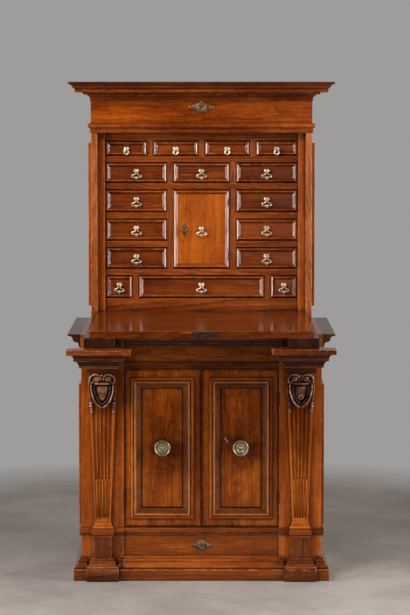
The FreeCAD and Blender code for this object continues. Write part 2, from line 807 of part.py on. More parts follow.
# Base
def base_carcase():
    inner = base_half - board
    bar_in, bar_out = loper_x - loper_bar_half - loper_play, loper_x + loper_bar_half + loper_play
    post = box(post_inner, base_half, post_front, post_back, plinth_height, housing_floor)
    for z in (door_hinge_low, door_hinge_high):
        reach = door_hinge_length * half + hinge_clearance
        post = post.cut(rod(knuckle + hinge_clearance, V(door_axis_x, door_axis_y, z - reach),
                            V(door_axis_x, door_axis_y, z + reach)))
    side = box(inner, base_half, post_back, case_back, plinth_height, base_board_low)
    nose = box(inner, base_half, housing_front, post_back, housing_floor, base_board_low)
    inner_guide = box(post_inner, bar_in, housing_front, case_back, housing_floor, base_board_low)
    outer_guide = box(bar_out, inner, housing_front, case_back, housing_floor, base_board_low)
    runner = box(bar_in, bar_out, housing_front, case_back, housing_floor, bar_low - seat_gap)
    cap = box(post_inner, base_half, housing_front, base_front, base_board_low, base_height)
    add("base_carcase", both(post, side, nose, inner_guide, outer_guide, runner, cap))
    add("base_carcase", box(-base_half, base_half, base_front, case_depth, base_board_low, base_height))
    add("base_carcase", box(-base_half, base_half, case_back, case_depth, plinth_height, base_board_low))
    add("base_carcase", box(-post_inner, post_inner, base_front, base_front + board, architrave_low, base_board_low))
    floor_top = dado_high
    add("base_carcase", box(-inner, inner, post_back, case_back, floor_top - board, floor_top))
    add("base_carcase", box(-post_inner, post_inner, base_front, post_back, dado_low + seat_gap, floor_top))


def base_mouldings():
    low = base_height - cornice_front_height
    add("base_mouldings", front_run(cornice_shares, housing_lead, cornice_front_height, low, -post_inner, post_inner,
                                    base_front))
    low = base_height - cornice_side_height
    add("base_mouldings", both(side_run(cornice_shares, cornice_side_reach, cornice_side_height, low, base_half,
                                        housing_front, case_depth)))
    add("base_mouldings", front_run(architrave_shares, architrave_reach, base_frieze_low - architrave_low,
                                    architrave_low, -post_inner, post_inner, base_front))
    height = dado_high - dado_low
    cap_half = pedestal_half + dado_reach
    cap_front = base_front - pedestal_lead
    add("base_mouldings", front_run(dado_shares, dado_reach, height, dado_low, -post_inner, post_inner, base_front))
    add("base_mouldings", both(side_run(dado_shares, dado_reach, height, dado_low, base_half, post_back, case_depth)))
    for x0, x1 in ((post_inner, pedestal_x - cap_half), (pedestal_x + cap_half, base_half + dado_reach)):
        add("base_mouldings", both(front_run(dado_shares, dado_reach, height, dado_low, x0, x1, post_front)))
    cap = wrapped(dado_shares, dado_reach, height, dado_low, pedestal_half, cap_front, post_front)
    core = box(-pedestal_half, pedestal_half, cap_front, post_front, dado_low, dado_high)
    for piece in [*cap, core]:
        piece.translate(V(pedestal_x, 0, 0))
        add("base_mouldings", both(piece))
    side = box(base_half - board, base_half + plinth_side_reach, base_front + board, case_depth, 0, plinth_height)
    front = box(-base_half - plinth_side_reach, base_half + plinth_side_reach, base_front - plinth_front_reach,
                base_front + board, 0, plinth_height)
    add("plinth", both(side), front)
    add("plinth", box(board - base_half, base_half - board, case_back, case_depth, 0, plinth_height))


def pedestals():
    """The pilasters' pedestals, and the foot moulding that runs round them and the base."""
    neck, foot = pedestal_half, pedestal_half + pedestal_reach
    neck_front = base_front - pedestal_lead
    foot_front = neck_front - pedestal_reach
    cap_low = plinth_height + pedestal_step
    cap = wrapped(foot_shares, pedestal_reach, foot_moulding_high - cap_low, cap_low, neck, neck_front, post_front)
    core = box(-neck, neck, neck_front, post_front, cap_low, dado_low)
    slab = box(-foot, foot, foot_front, post_front, plinth_height, cap_low)
    block = box(-foot, foot, foot_front, base_front - plinth_front_reach, 0, plinth_height)
    for piece in [*cap, core, slab, block]:
        piece.translate(V(pedestal_x, 0, 0))
        add("pedestals", both(piece))
    height = foot_moulding_high - plinth_height
    front, right, left = wrapped(foot_shares, foot_moulding_reach, height, plinth_height, base_half, post_front,
                                 case_depth)
    wide, deep = base_half + foot_moulding_reach, foot_front
    gaps = [(-pedestal_x - foot, -pedestal_x + foot), (pedestal_x - foot, pedestal_x + foot),
            (-post_inner, post_inner)]
    for x0, x1 in gaps:
        front = front.cut(box(x0, x1, deep, post_front, 0, dado_low))
    add("pedestals", front.Solids, right, left)


def pilasters():
    front = base_front - pilaster_lead
    shaft = lofted([
        plan_ring(pedestal_x - pilaster_low_half, pedestal_x + pilaster_low_half, front, post_front, pilaster_low),
        plan_ring(pedestal_x - pilaster_high_half, pedestal_x + pilaster_high_half, front, post_front, pilaster_high),
    ])
    for i in range(flutes):
        share = (2 * (i + 1) / (flutes + 1) - 1)
        grow = (pilaster_high_half - pilaster_low_half) / (pilaster_high - pilaster_low)
        low_half = pilaster_low_half + grow * (flute_low - pilaster_low)
        high_half = pilaster_low_half + grow * (flute_high - pilaster_low)
        start = V(pedestal_x + share * low_half, front, flute_low)
        end = V(pedestal_x + share * high_half, front, flute_high)
        shaft = shaft.cut(Part.makeCone(flute_low_radius, flute_high_radius, (end - start).Length, start, end - start))
    foot = box(pedestal_x - pilaster_foot_half, pedestal_x + pilaster_foot_half, front - ledge, post_front,
               dado_high, pilaster_low)
    add("pilasters", both(shaft, foot))
    block = box(pedestal_x - pilaster_high_half - ledge, pedestal_x + pilaster_high_half + ledge, housing_front,
                post_front, pilaster_high, housing_floor)
    add("pilasters", both(block))


def consoles():
    face = base_front - pilaster_lead
    back = base_front - console_back_lead
    shield_front = base_front - console_shield_lead
    height = pilaster_high - console_low
    slab = box(pedestal_x - console_half, pedestal_x + console_half, back, face, console_low + height * third,
               pilaster_high)
    shield = outline_face(shield_shares, lambda u, v: V(pedestal_x + u * console_half, face,
                                                        console_low + v * height))
    solid = slab.fuse(shield.extrude(V(0, shield_front - face, 0)))
    for side in (-1, 1):
        at = V(pedestal_x + side * console_scroll_x, face, pilaster_high - console_scroll_radius)
        solid = solid.fuse(rod(console_scroll_radius, at, V(at.x, base_front - console_scroll_lead, at.z)))
        for i in range(tassel_beads):
            step = (tassel_top - tassel_low) / tassel_beads
            taper = 1 - third * i / tassel_beads
            bead = Part.makeCone(tassel_radius * taper, tassel_radius * taper * half, step,
                                 V(pedestal_x + side * tassel_x, face - tassel_radius * half, tassel_top - i * step),
                                 V(0, 0, -1))
            solid = solid.fuse(bead)
    solid = solid.fuse(box(pedestal_x - console_bar_half, pedestal_x + console_bar_half, shield_front - ledge, face,
                           console_bar_low, console_bar_low + console_bar_height))
    solid = solid.fuse(Part.makeTorus(boss_radius, boss_wire, V(pedestal_x, shield_front, boss_z), V(0, 1, 0)))
    add("shield_consoles", both(solid.cut(box(-base_half, base_half, face, post_front, 0, base_height))))


# Lopers
def loper(name, side, front):
    """A draw-out support: a long bar behind a moulded head."""
    core_front = -front + loper_reach
    back = core_front + loper_core_depth
    low = base_height - loper_head_height
    head = wrapped(loper_shares, loper_reach, loper_head_height, low, loper_core_half, core_front, back)
    core = box(-loper_core_half, loper_core_half, core_front, back, low, base_height)
    drawn = -front - loper_shut_front
    tail = case_back - loper_tail_gap + drawn
    bar = box(-loper_bar_half, loper_bar_half, back, tail, bar_low, bar_top)
    for piece in [*head, core, bar]:
        piece.translate(V(side * loper_x, 0, 0))
        add(name, piece)


# Base doors
def door_rings(x0, x1):
    """The door's rectangles from back to front: frame, bolection and panel."""
    rings = [front_ring(x0, x1, door_low, door_high, base_front + board),
             front_ring(x0, x1, door_low, door_high, base_front)]
    a0, a1 = x0 + door_inner_stile, x1 - door_outer_stile
    b0, b1 = door_low + door_low_rail, door_high - door_high_rail
    rings.append(front_ring(a0, a1, b0, b1, base_front))
    for inset, rise in bolection_shares:
        d = inset * bolection_width
        rings.append(front_ring(a0 + d, a1 - d, b0 + d, b1 - d, base_front - rise * bolection_height))
    d = bolection_width
    rings.append(front_ring(a0 + d, a1 - d, b0 + d, b1 - d, panel_y))
    return rings


def base_door(name, is_right):
    """One of the two cupboard doors, made on the right and mirrored for the left."""
    def turn(shape):
        return shape if is_right else mirrored(shape)

    leaf = lofted(door_rings(door_meeting, post_inner - door_gap))
    for z in (door_hinge_low, door_hinge_high):
        low = z - door_hinge_length * half
        clear = V(0, 0, hinge_clearance)
        start, end = V(door_axis_x, door_axis_y, low), V(door_axis_x, door_axis_y, low + door_hinge_length)
        leaf = leaf.cut(rod(knuckle + hinge_clearance, start - clear, end + clear))
        fixed, moving = vertical_hinge(door_axis_x, door_axis_y, low, door_hinge_length, knuckle, post_inner,
                                       door_gap, base_front + board * half)
        add("fixed_hinges", turn(fixed))
        add(name, turn(moving))
    if is_right:
        leaf = leaf.cut(rod(key_shaft_radius + pin_clearance, V(key_x, panel_y - ledge, key_z),
                            V(key_x, panel_y + key_shaft_in + seat_gap, key_z)))
    add(name, turn(leaf))
    knob_face = outline_face(knob_shares, lambda u, v: V(knob_x + u * knob_radius, panel_y - v * knob_reach, knob_z))
    knob = knob_face.revolve(V(knob_x, panel_y, knob_z), V(0, 1, 0), 360)
    add(name + "_knob", turn(knob))


def door_key():
    bow_y = panel_y - key_shaft_out - key_bow_radius + key_bow_thickness
    shaft = rod(key_shaft_radius, V(key_x, panel_y - key_shaft_out, key_z), V(key_x, panel_y + key_shaft_in, key_z))
    reach = V(key_bow_thickness * half, 0, 0)
    centre = V(key_x, bow_y, key_z)
    bow = rod(key_bow_radius, centre - reach, centre + reach).cut(rod(key_bow_hole, centre - reach, centre + reach))
    key = shaft.fuse(bow)
    key.rotate(V(key_x, panel_y, key_z), V(0, 1, 0), -key_tilt)
    add("door_key", key)


# Plinth drawer
def plinth_drawer():
    z0, z1 = plinth_height + seat_gap, dado_low - side_gap
    front = base_front
    face = box(-plinth_drawer_half, plinth_drawer_half, front, front + board, z0, z1)
    face = face.cut(keyhole(0, plinth_escutcheon_z, front - ledge, front + board * half))
    back_of_front = front + board
    tail = back_of_front + plinth_drawer_depth
    x = plinth_drawer_half - board
    wall = plinth_drawer_board
    low = z0 + wall
    side_top = z1 - drawer_top_gap - board * half
    add("plinth_drawer", face, both(box(x - wall, x, back_of_front, tail, z0, side_top)))
    add("plinth_drawer", box(wall - x, x - wall, tail - wall, tail, z0, side_top))
    add("plinth_drawer", box(wall - x, x - wall, back_of_front, tail - wall, z0, low))
    add("plinth_drawer", front_run(foot_shares, foot_moulding_reach + post_lead, foot_moulding_high - plinth_height,
                                   z0, -plinth_drawer_half, plinth_drawer_half, front))
    runner = box(plinth_drawer_half - board + side_gap, plinth_drawer_half, back_of_front + seat_gap, case_back,
                 plinth_height, dado_low)
    floor = box(-plinth_drawer_half, plinth_drawer_half, back_of_front + seat_gap, case_back,
                plinth_height - wall, plinth_height)
    add("base_carcase", both(runner), floor)
    add("plinth_drawer_escutcheon", escutcheon(0, plinth_escutcheon_z, front, plinth_escutcheon_width,
                                               plinth_escutcheon_height, 6))


def build():
    upper_case()
    frieze()
    lid()
    lid_hinges()
    fall_front()
    nest()
    small_door()
    side_frames()
    base_carcase()
    base_mouldings()
    pedestals()
    pilasters()
    consoles()
    loper("left_loper", -1, left_loper_front)
    loper("right_loper", 1, right_loper_front)
    base_door("left_door", False)
    base_door("right_door", True)
    door_key()
    plinth_drawer()


def export():
    os.makedirs("parts", exist_ok=True)
    for name, shapes in nodes.items():
        group = Part.makeCompound(shapes)
        group.translate(V(0, centre_shift, 0))
        solids = group.Solids
        bad = [solid for solid in solids if not solid.isValid() or solid.Volume <= 0]
        extent = group.BoundBox
        print(f"{name}: {len(solids)} solids, {len(bad)} bad, X {extent.XMin:.1f} {extent.XMax:.1f}"
              f" Y {extent.YMin:.1f} {extent.YMax:.1f} Z {extent.ZMin:.1f} {extent.ZMax:.1f}")
        group.exportStep(f"parts/{name}.step")


build()
export()
print(len(nodes), "nodes")
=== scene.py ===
# %% [markdown]
# # A walnut fall-front cabinet on a cupboard base
# The measured CAD model is loaded as a fixed frame. Everything below is dressed round it: the boards get
# softened edges and grain, and the brass, the iron and the carving are modelled again more finely.
# The frame says where each piece sits, so nothing has to be fitted by eye.

# %% Load the frame
import json
import math
import random

import bmesh
import bpy
from mathutils import Matrix, Vector


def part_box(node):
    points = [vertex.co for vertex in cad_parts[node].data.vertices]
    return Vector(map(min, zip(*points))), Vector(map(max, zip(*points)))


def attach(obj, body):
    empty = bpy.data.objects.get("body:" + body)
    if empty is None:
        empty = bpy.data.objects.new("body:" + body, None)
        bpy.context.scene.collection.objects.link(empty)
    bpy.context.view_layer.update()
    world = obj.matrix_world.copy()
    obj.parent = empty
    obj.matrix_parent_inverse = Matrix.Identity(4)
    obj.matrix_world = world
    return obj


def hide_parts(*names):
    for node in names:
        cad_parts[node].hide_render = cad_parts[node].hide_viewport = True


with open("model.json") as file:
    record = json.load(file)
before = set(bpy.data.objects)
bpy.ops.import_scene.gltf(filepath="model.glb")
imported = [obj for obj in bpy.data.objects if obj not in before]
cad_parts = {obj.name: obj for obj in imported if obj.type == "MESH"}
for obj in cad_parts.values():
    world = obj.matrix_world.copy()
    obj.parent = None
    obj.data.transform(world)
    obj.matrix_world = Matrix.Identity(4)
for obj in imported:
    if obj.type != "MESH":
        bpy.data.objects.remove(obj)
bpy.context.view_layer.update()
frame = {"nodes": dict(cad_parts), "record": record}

record = frame["record"]
nodes = frame["nodes"]
body_of_node = {node: body for body, members in record["behaviour"]["bodies"].items() for node in members}

# %% [markdown]
# ## Camera
# The photograph was taken from far away with a long lens, a little above the top of the cabinet.
# Its upright edges stay nearly parallel, which a photographer gets with a shifted lens. A camera that is
# tilted a little and shifted a little gives the same framing, and still keeps the cabinet in the middle
# when it is looked at from other sides.

# %% Camera
mm = 0.001
sensor_width = 36.0
lens = 128.61
camera_height = 1.7017
camera_y = -7.451
camera_tilt = math.radians(3.5)
camera_shift = (0.0057, -0.1494)

camera_data = bpy.data.cameras.new("camera")
camera_data.sensor_width = sensor_width
camera_data.lens = lens
camera_data.shift_x, camera_data.shift_y = camera_shift
camera_data.clip_end = 100
camera = bpy.data.objects.new("camera", camera_data)
camera.location = (0, camera_y, camera_height)
camera.rotation_euler = (math.pi / 2 - camera_tilt, 0, 0)
bpy.context.scene.collection.objects.link(camera)
bpy.context.scene.camera = camera
bpy.context.scene.view_settings.view_transform = "Standard"
print("camera:", tuple(camera.location), "lens", lens)

# %% [markdown]
# ## Node helper
# Materials are graphs of nodes. Most nodes need the same three lines: make it, set its values, link its
# inputs. One helper does that, so that each material below reads like a recipe.

# %% Node helper
def shader_node(tree, kind, settings=None, **inputs):
    """Adds a shader node. An input is given by its name with _ for a space, or as in0, in1 for its place."""
    made = tree.nodes.new("ShaderNode" + kind)
    for key, value in (settings or {}).items():
        setattr(made, key, value)
    for key, value in inputs.items():
        socket = made.inputs[int(key[2:])] if key[2:].isdigit() else made.inputs[key.replace("_", " ")]
        if isinstance(value, bpy.types.NodeSocket):
            tree.links.new(value, socket)
        else:
            socket.default_value = value
    return made


def maths(tree, operation, *values, clamp=False):
    """A Math node's result."""
    return shader_node(tree, "Math", {"operation": operation, "use_clamp": clamp},
                       **{f"in{i}": value for i, value in enumerate(values)}).outputs[0]


def blend_colour(tree, mode, share, first, second):
    """A Mix node's colour."""
    settings = {"data_type": "RGBA", "blend_type": mode}
    return shader_node(tree, "Mix", settings, in0=share, in6=first, in7=second).outputs[2]


def remap(tree, value, low, high, new_low=0.0, new_high=1.0):
    """A value carried from one range to another, and kept inside it."""
    return shader_node(tree, "MapRange", None, Value=value, From_Min=low, From_Max=high,
                       To_Min=new_low, To_Max=new_high).outputs[0]


def object_places(tree):
    """The object's own coordinates."""
    return shader_node(tree, "TexCoord").outputs["Object"]


def split(tree, vector):
    """The three parts of a vector, by the names X, Y and Z."""
    return shader_node(tree, "SeparateXYZ", None, in0=vector).outputs


def noise(tree, places, scale, detail, roughness=0.5):
    """A Noise texture's value."""
    return shader_node(tree, "TexNoise", None, Vector=places, Scale=scale, Detail=detail,
                       Roughness=roughness).outputs["Fac"]


def darkened(tree, share, colour, *tint):
    """A colour multiplied by a dark tint, as far as share says."""
    return blend_colour(tree, "MULTIPLY", share, colour, (*tint, 1))


def openness(tree, reach):
    """How open a place is: 1 on a free face, less in a corner."""
    return shader_node(tree, "AmbientOcclusion", {"samples": 6}, Distance=reach).outputs["AO"]


def new_group(name, inputs, outputs):
    """An empty node group with typed sockets. Returns its tree, its input node and its output node."""
    tree = bpy.data.node_groups.new(name, "ShaderNodeTree")
    for kind, label, value in inputs:
        socket = tree.interface.new_socket(label, in_out="INPUT", socket_type="NodeSocket" + kind)
        if value is not None:
            socket.default_value = value
    for kind, label in outputs:
        tree.interface.new_socket(label, in_out="OUTPUT", socket_type="NodeSocket" + kind)
    return tree, tree.nodes.new("NodeGroupInput").outputs, tree.nodes.new("NodeGroupOutput").inputs


def new_material(name):
    """A material with its Principled shader, ready for colours."""
    material = bpy.data.materials.new(name)
    material.use_nodes = True
    return material, material.node_tree, material.node_tree.nodes["Principled BSDF"]


def linear(*srgb):
    """A colour that is written as 0 to 255, as Blender's linear values."""
    return tuple(c / 255 / 12.92 if c <= 10 else ((c / 255 + 0.055) / 1.055) ** 2.4 for c in srgb) + (1.0,)

# %% [markdown]
# ## Floor, background and lamps
# A studio stands furniture on a plain floor and lights it with softboxes. A big key lamp stands high in front
# on the left. Lamps near the walls fill in the sides, and reflections leave them out. A tall softbox on each
# side is the other way round: it draws the pale lines along the bevels of the drawers and lights nothing.
# The background is a plain colour that only the camera and reflections see, so it adds no light. Glossy
# surfaces that face the front mirror the darker half of the room, as in a real studio.

# %% Floor and world
floor_radius = 6.0
floor_fade = (1.7, 2.35)
floor_dark, floor_pale = (0.245, 0.212, 0.187, 1), (0.335, 0.296, 0.265, 1)
shade_from, shade_to, shade_depth = -0.7, 0.9, 0.68
background = (0.34, 0.335, 0.33, 1.0)
room = (0.05, 0.047, 0.044, 1.0)
fill = (0.06, 0.062, 0.066, 1.0)
floor_bm = bmesh.new()
bmesh.ops.create_circle(floor_bm, cap_ends=True, segments=64, radius=floor_radius)
floor_mesh = bpy.data.meshes.new("floor")
floor_bm.to_mesh(floor_mesh)
floor_bm.free()
floor = bpy.data.objects.new("floor", floor_mesh)
bpy.context.scene.collection.objects.link(floor)

floor_material, tree, shader = new_material("pale_floor")
places = object_places(tree)
cloudy = remap(tree, noise(tree, places, 2.6, 8.0, 0.72), 0.4, 0.6)
floor_colour = blend_colour(tree, "MIX", cloudy, floor_dark, floor_pale)
# Painted shade: the floor's colour gets darker towards the back.
depth_shade = remap(tree, split(tree, places)["Y"], shade_from, shade_to, 0.0, shade_depth)
floor_colour = darkened(tree, depth_shade, floor_colour, 0.2, 0.19, 0.18)
tree.links.new(floor_colour, shader.inputs["Base Color"])
far_out = shader_node(tree, "VectorMath", {"operation": "LENGTH"}, in0=places).outputs["Value"]
tree.links.new(remap(tree, far_out, *floor_fade, 1.0, 0.0), shader.inputs["Alpha"])
shader.inputs["Roughness"].default_value = 0.75
floor_mesh.materials.append(floor_material)

world = bpy.data.worlds.new("studio")
bpy.context.scene.world = world
world.use_nodes = True
tree = world.node_tree
path = shader_node(tree, "LightPath").outputs
way = split(tree, shader_node(tree, "TexCoord").outputs["Generated"])["Y"]
mirrored = blend_colour(tree, "MIX", remap(tree, way, -0.55, 0.1), room, background)
shiny = maths(tree, "MAXIMUM", path["Is Glossy Ray"], path["Is Transmission Ray"])
dim = blend_colour(tree, "MIX", shiny, fill, mirrored)
tree.links.new(blend_colour(tree, "MIX", path["Is Camera Ray"], dim, background),
               tree.nodes["Background"].inputs["Color"])
print("background:", background[:3])

# %% Lamps
strip_colour = (1.0, 0.86, 0.8)


def softbox(name, place, aim, width, height, power, colour=(1, 1, 1), only_gloss=False, no_gloss=False):
    """A flat soft lamp that faces a point. With only_gloss it is seen in reflections and lights nothing
    else, and with no_gloss it is the other way round."""
    lamp = bpy.data.lights.new(name, "AREA")
    lamp.shape = "RECTANGLE"
    lamp.size, lamp.size_y, lamp.energy, lamp.color = width, height, power, colour
    holder = bpy.data.objects.new(name, lamp)
    holder.location = place
    holder.rotation_euler = (Vector(aim) - Vector(place)).to_track_quat("-Z", "Y").to_euler()
    holder.visible_diffuse = not only_gloss
    holder.visible_glossy = not no_gloss
    bpy.context.scene.collection.objects.link(holder)
    print(name, "lamp", power, "W")


softbox("key", (-2.3, -3.3, 4.2), (0, 0, 0.9), 1.2, 1.2, 240)
softbox("low_left", (-3.9, -2.3, 1.1), (0, 0, 0.7), 1.0, 1.0, 110, no_gloss=True)
softbox("fill_front", (2.4, -5.6, 1.2), (0, 0, 0.9), 1.4, 1.4, 58)
softbox("strip_left", (-2.3, -0.36, 1.3), (0, 0.15, 1.25), 0.6, 1.1, 48, strip_colour, only_gloss=True)
softbox("strip_right", (2.3, -0.36, 1.3), (0, 0.15, 1.25), 0.6, 1.1, 52, strip_colour, only_gloss=True)
softbox("wall_left", (-4.6, -0.9, 2.2), (0, 0.2, 1.0), 2.0, 2.0, 110, no_gloss=True)
softbox("wall_right", (4.6, -0.9, 2.2), (0, 0.2, 1.0), 2.0, 2.0, 330, no_gloss=True)
softbox("back", (1.5, 3.2, 2.6), (0, 0, 1.0), 2.0, 2.0, 70, no_gloss=True)

# %% [markdown]
# ## Walnut
# Walnut is brown bands that run with the tree's rings, finer streaks of fibre, and short dark pores. A
# texture picture could show that, but a procedural grain has no seams and has the same scale on every
# board. Each board carries its own coordinates, with the first along the grain, so the rings of one board
# don't run on into the next.

# %% Walnut figure, as a group that each wood uses with its own colours
def walnut_figure():
    """Rings, fibre, mottle and pores, laid along the grain."""
    tree, given, out = new_group(
        "walnut_figure",
        [("Vector", "Grain", None), ("Color", "Dark", None), ("Color", "Middle", None),
         ("Color", "Pale", None), ("Float", "Rings", 60.0), ("Float", "Figure", 0.02),
         ("Float", "Bands", 0.5), ("Float", "Pores", 0.5)],
        [("Color", "Colour"), ("Float", "Height"), ("Float", "Shine")])
    grain = given["Grain"]

    def vector(operation, **inputs):
        return shader_node(tree, "VectorMath", {"operation": operation}, **inputs).outputs[0]

    def stretched(scale, along, detail, rough, places):
        slim = vector("MULTIPLY", in0=places, in1=(along, 1.0, 1.0))
        return shader_node(tree, "TexNoise", None, Vector=slim, Scale=scale, Detail=detail,
                           Roughness=rough).outputs

    swirl = stretched(7.0, 0.3, 3.0, 0.55, grain)["Color"]
    centred = vector("SUBTRACT", in0=swirl, in1=(0.5, 0.5, 0.5))
    warped = vector("ADD", in0=grain, in1=vector("SCALE", in0=centred, Scale=given["Figure"]))
    saw = {"wave_type": "RINGS", "rings_direction": "X", "wave_profile": "SAW"}
    rings = shader_node(tree, "TexWave", saw, Vector=warped, Scale=given["Rings"], Distortion=1.6,
                        Detail=3.0, Detail_Scale=0.9, Detail_Roughness=0.6).outputs["Fac"]
    broad = remap(tree, stretched(26.0, 0.07, 4.0, 0.6, warped)["Fac"], 0.3, 0.7)
    fibre = remap(tree, stretched(330.0, 0.03, 3.0, 0.7, warped)["Fac"], 0.3, 0.7)
    mottle = remap(tree, stretched(9.0, 0.35, 4.0, 0.6, grain)["Fac"], 0.28, 0.72)
    pore = remap(tree, stretched(1500.0, 0.05, 1.0, 0.5, grain)["Fac"], 0.60, 0.68)
    banded = maths(tree, "MULTIPLY", rings, given["Bands"])
    tone = banded
    for part, share in ((broad, 0.42), (fibre, 0.26), (mottle, 0.26), (given["Bands"], -0.5)):
        tone = maths(tree, "ADD", tone, maths(tree, "MULTIPLY", part, share))
    low = blend_colour(tree, "MIX", remap(tree, tone, 0.08, 0.46), given["Dark"], given["Middle"])
    colour = blend_colour(tree, "MIX", remap(tree, tone, 0.44, 0.86), low, given["Pale"])
    pored = maths(tree, "MULTIPLY", pore, given["Pores"])
    tree.links.new(darkened(tree, pored, colour, 0.25, 0.16, 0.12), out["Colour"])
    height = maths(tree, "SUBTRACT", maths(tree, "MULTIPLY", fibre, 0.5), pored)
    tree.links.new(height, out["Height"])
    tree.links.new(maths(tree, "MULTIPLY", maths(tree, "ADD", mottle, pored), 0.5), out["Shine"])
    return tree


figure_group = walnut_figure()
print("group:", figure_group.name, len(figure_group.nodes), "nodes")

# %% Wear, old wax and painted shade, as a group
# How far the painted shade in recesses and in narrow creases reaches.
recess_shade_reach, crease_shade_reach = 0.035, 0.009


def wear_wax_and_shade_group():
    """Pale outer edges, as rubbed wood and a painted highlight; dark inner corners, as old wax and painted
    shade; painted shade in recesses and creases; and soft dirt all over.
    """
    tree, given, out = new_group(
        "wear_wax_and_shade",
        [("Color", "Colour", None), ("Color", "Worn", None), ("Float", "Wear", 0.5),
         ("Float", "Wax", 0.5)],
        [("Color", "Colour")])
    places = object_places(tree)
    wear_and_light_share = shader_node(tree, "Attribute", {"attribute_name": "wear"}).outputs["Fac"]
    patchy = remap(tree, noise(tree, places, 38.0, 5.0, 0.7), 0.42, 0.62)
    # Outer edges: pale, as rubbed wood and a painted highlight.
    outer = maths(tree, "MULTIPLY", maths(tree, "MAXIMUM", wear_and_light_share, 0.0),
                  maths(tree, "MULTIPLY", patchy, given["Wear"]))
    colour = blend_colour(tree, "MIX", outer, given["Colour"], given["Worn"])
    # Inner corners: dark, as old wax and painted shade.
    inner = maths(tree, "MAXIMUM", maths(tree, "MULTIPLY", wear_and_light_share, -1.0), 0.0)
    # Painted shade: the colour darkens where little is open round a place, in recesses and in the creases
    # between parts.
    recess_shade = remap(tree, openness(tree, recess_shade_reach), 0.22, 0.88, 1.0, 0.0)
    crease_shade = remap(tree, openness(tree, crease_shade_reach), 0.3, 0.82, 1.0, 0.0)
    spots = remap(tree, noise(tree, places, 42.0, 6.0, 0.75), 0.34, 0.56, 0.42, 0.0)
    clouds = remap(tree, noise(tree, places, 7.0, 5.0, 0.65), 0.3, 0.62, 0.5, 0.0)
    for share, tint in ((inner, (0.2, 0.13, 0.1)), (recess_shade, (0.2, 0.12, 0.09)),
                        (crease_shade, (0.06, 0.03, 0.025)), (spots, (0.3, 0.16, 0.1)),
                        (clouds, (0.3, 0.18, 0.12))):
        waxed = maths(tree, "MULTIPLY", share, given["Wax"], clamp=True)
        colour = darkened(tree, waxed, colour, *tint)
    tree.links.new(colour, out["Colour"])
    return tree


wear_wax_shade_nodes = wear_wax_and_shade_group()

# %% Hand grease and painted shade round the knobs and at the leaves' edges, and scratches
knob_marks = [(-0.1335, 0.446), (0.1335, 0.446)]
mark_reach = (0.02, 0.1)
mark_squash, mark_fray = 0.8, 0.16
leaf_x, leaf_z = (0.0006, 0.2638), (0.1785, 0.7225)
gap_shade_reach, gap_shade_fray = 0.011, 0.016


def grease_and_painted_shade(tree, colour):
    """Dark patches round the knobs, as hand grease and the knobs' painted shadow, and painted shade along each
    leaf's edges, where the gaps fall dark.
    """
    places = object_places(tree)
    ragged = maths(tree, "SUBTRACT", noise(tree, places, 30.0, 4.0, 0.7), 0.5)
    flat = shader_node(tree, "VectorMath", {"operation": "MULTIPLY"}, in0=places, in1=(1.0, 0.0, mark_squash))
    gaps = [shader_node(tree, "VectorMath", {"operation": "DISTANCE"}, in0=flat.outputs[0],
                        in1=(x, 0.0, z * mark_squash)).outputs["Value"] for x, z in knob_marks]
    near = maths(tree, "ADD", maths(tree, "MINIMUM", *gaps), maths(tree, "MULTIPLY", ragged, mark_fray))
    # Dark patches round the knobs: hand grease and painted shadow.
    colour = darkened(tree, remap(tree, near, *mark_reach, 0.75, 0.0), colour, 0.22, 0.12, 0.1)
    place = split(tree, places)
    aside = maths(tree, "ABSOLUTE", place["X"])
    across = maths(tree, "MINIMUM", maths(tree, "SUBTRACT", aside, leaf_x[0]),
                   maths(tree, "SUBTRACT", leaf_x[1], aside))
    upright = maths(tree, "MINIMUM", maths(tree, "SUBTRACT", place["Z"], leaf_z[0]),
                    maths(tree, "SUBTRACT", leaf_z[1], place["Z"]))
    # Painted shade along each leaf's edges, where the gaps round it fall dark.
    edge = maths(tree, "ADD", maths(tree, "MINIMUM", across, upright),
                 maths(tree, "MULTIPLY", ragged, gap_shade_fray))
    return darkened(tree, remap(tree, edge, 0.0, gap_shade_reach, 0.9, 0.0), colour, 0.12, 0.06, 0.05)


def scratches(tree, colour):
    """Thin pale scratches and specks on a board that has been written on for centuries."""
    places = object_places(tree)
    slanting = shader_node(tree, "Mapping", None, Vector=places, Rotation=(0.0, 0.0, 0.35),
                           Scale=(4.0, 90.0, 90.0)).outputs[0]
    thin = remap(tree, noise(tree, slanting, 1.0, 2.0), 0.70, 0.74, 0.0, 0.35)
    dots = remap(tree, noise(tree, places, 260.0, 1.0), 0.74, 0.78, 0.0, 0.5)
    stains = remap(tree, noise(tree, places, 11.0, 5.0, 0.6), 0.5, 0.66, 0.0, 0.55)
    stained = darkened(tree, stains, colour, 0.25, 0.13, 0.1)
    return blend_colour(tree, "MIX", maths(tree, "MAXIMUM", thin, dots), stained, (0.36, 0.2, 0.11, 1))

# %% A wood, from its colours
ring_scale = 55.0
polish = (0.14, 0.26)


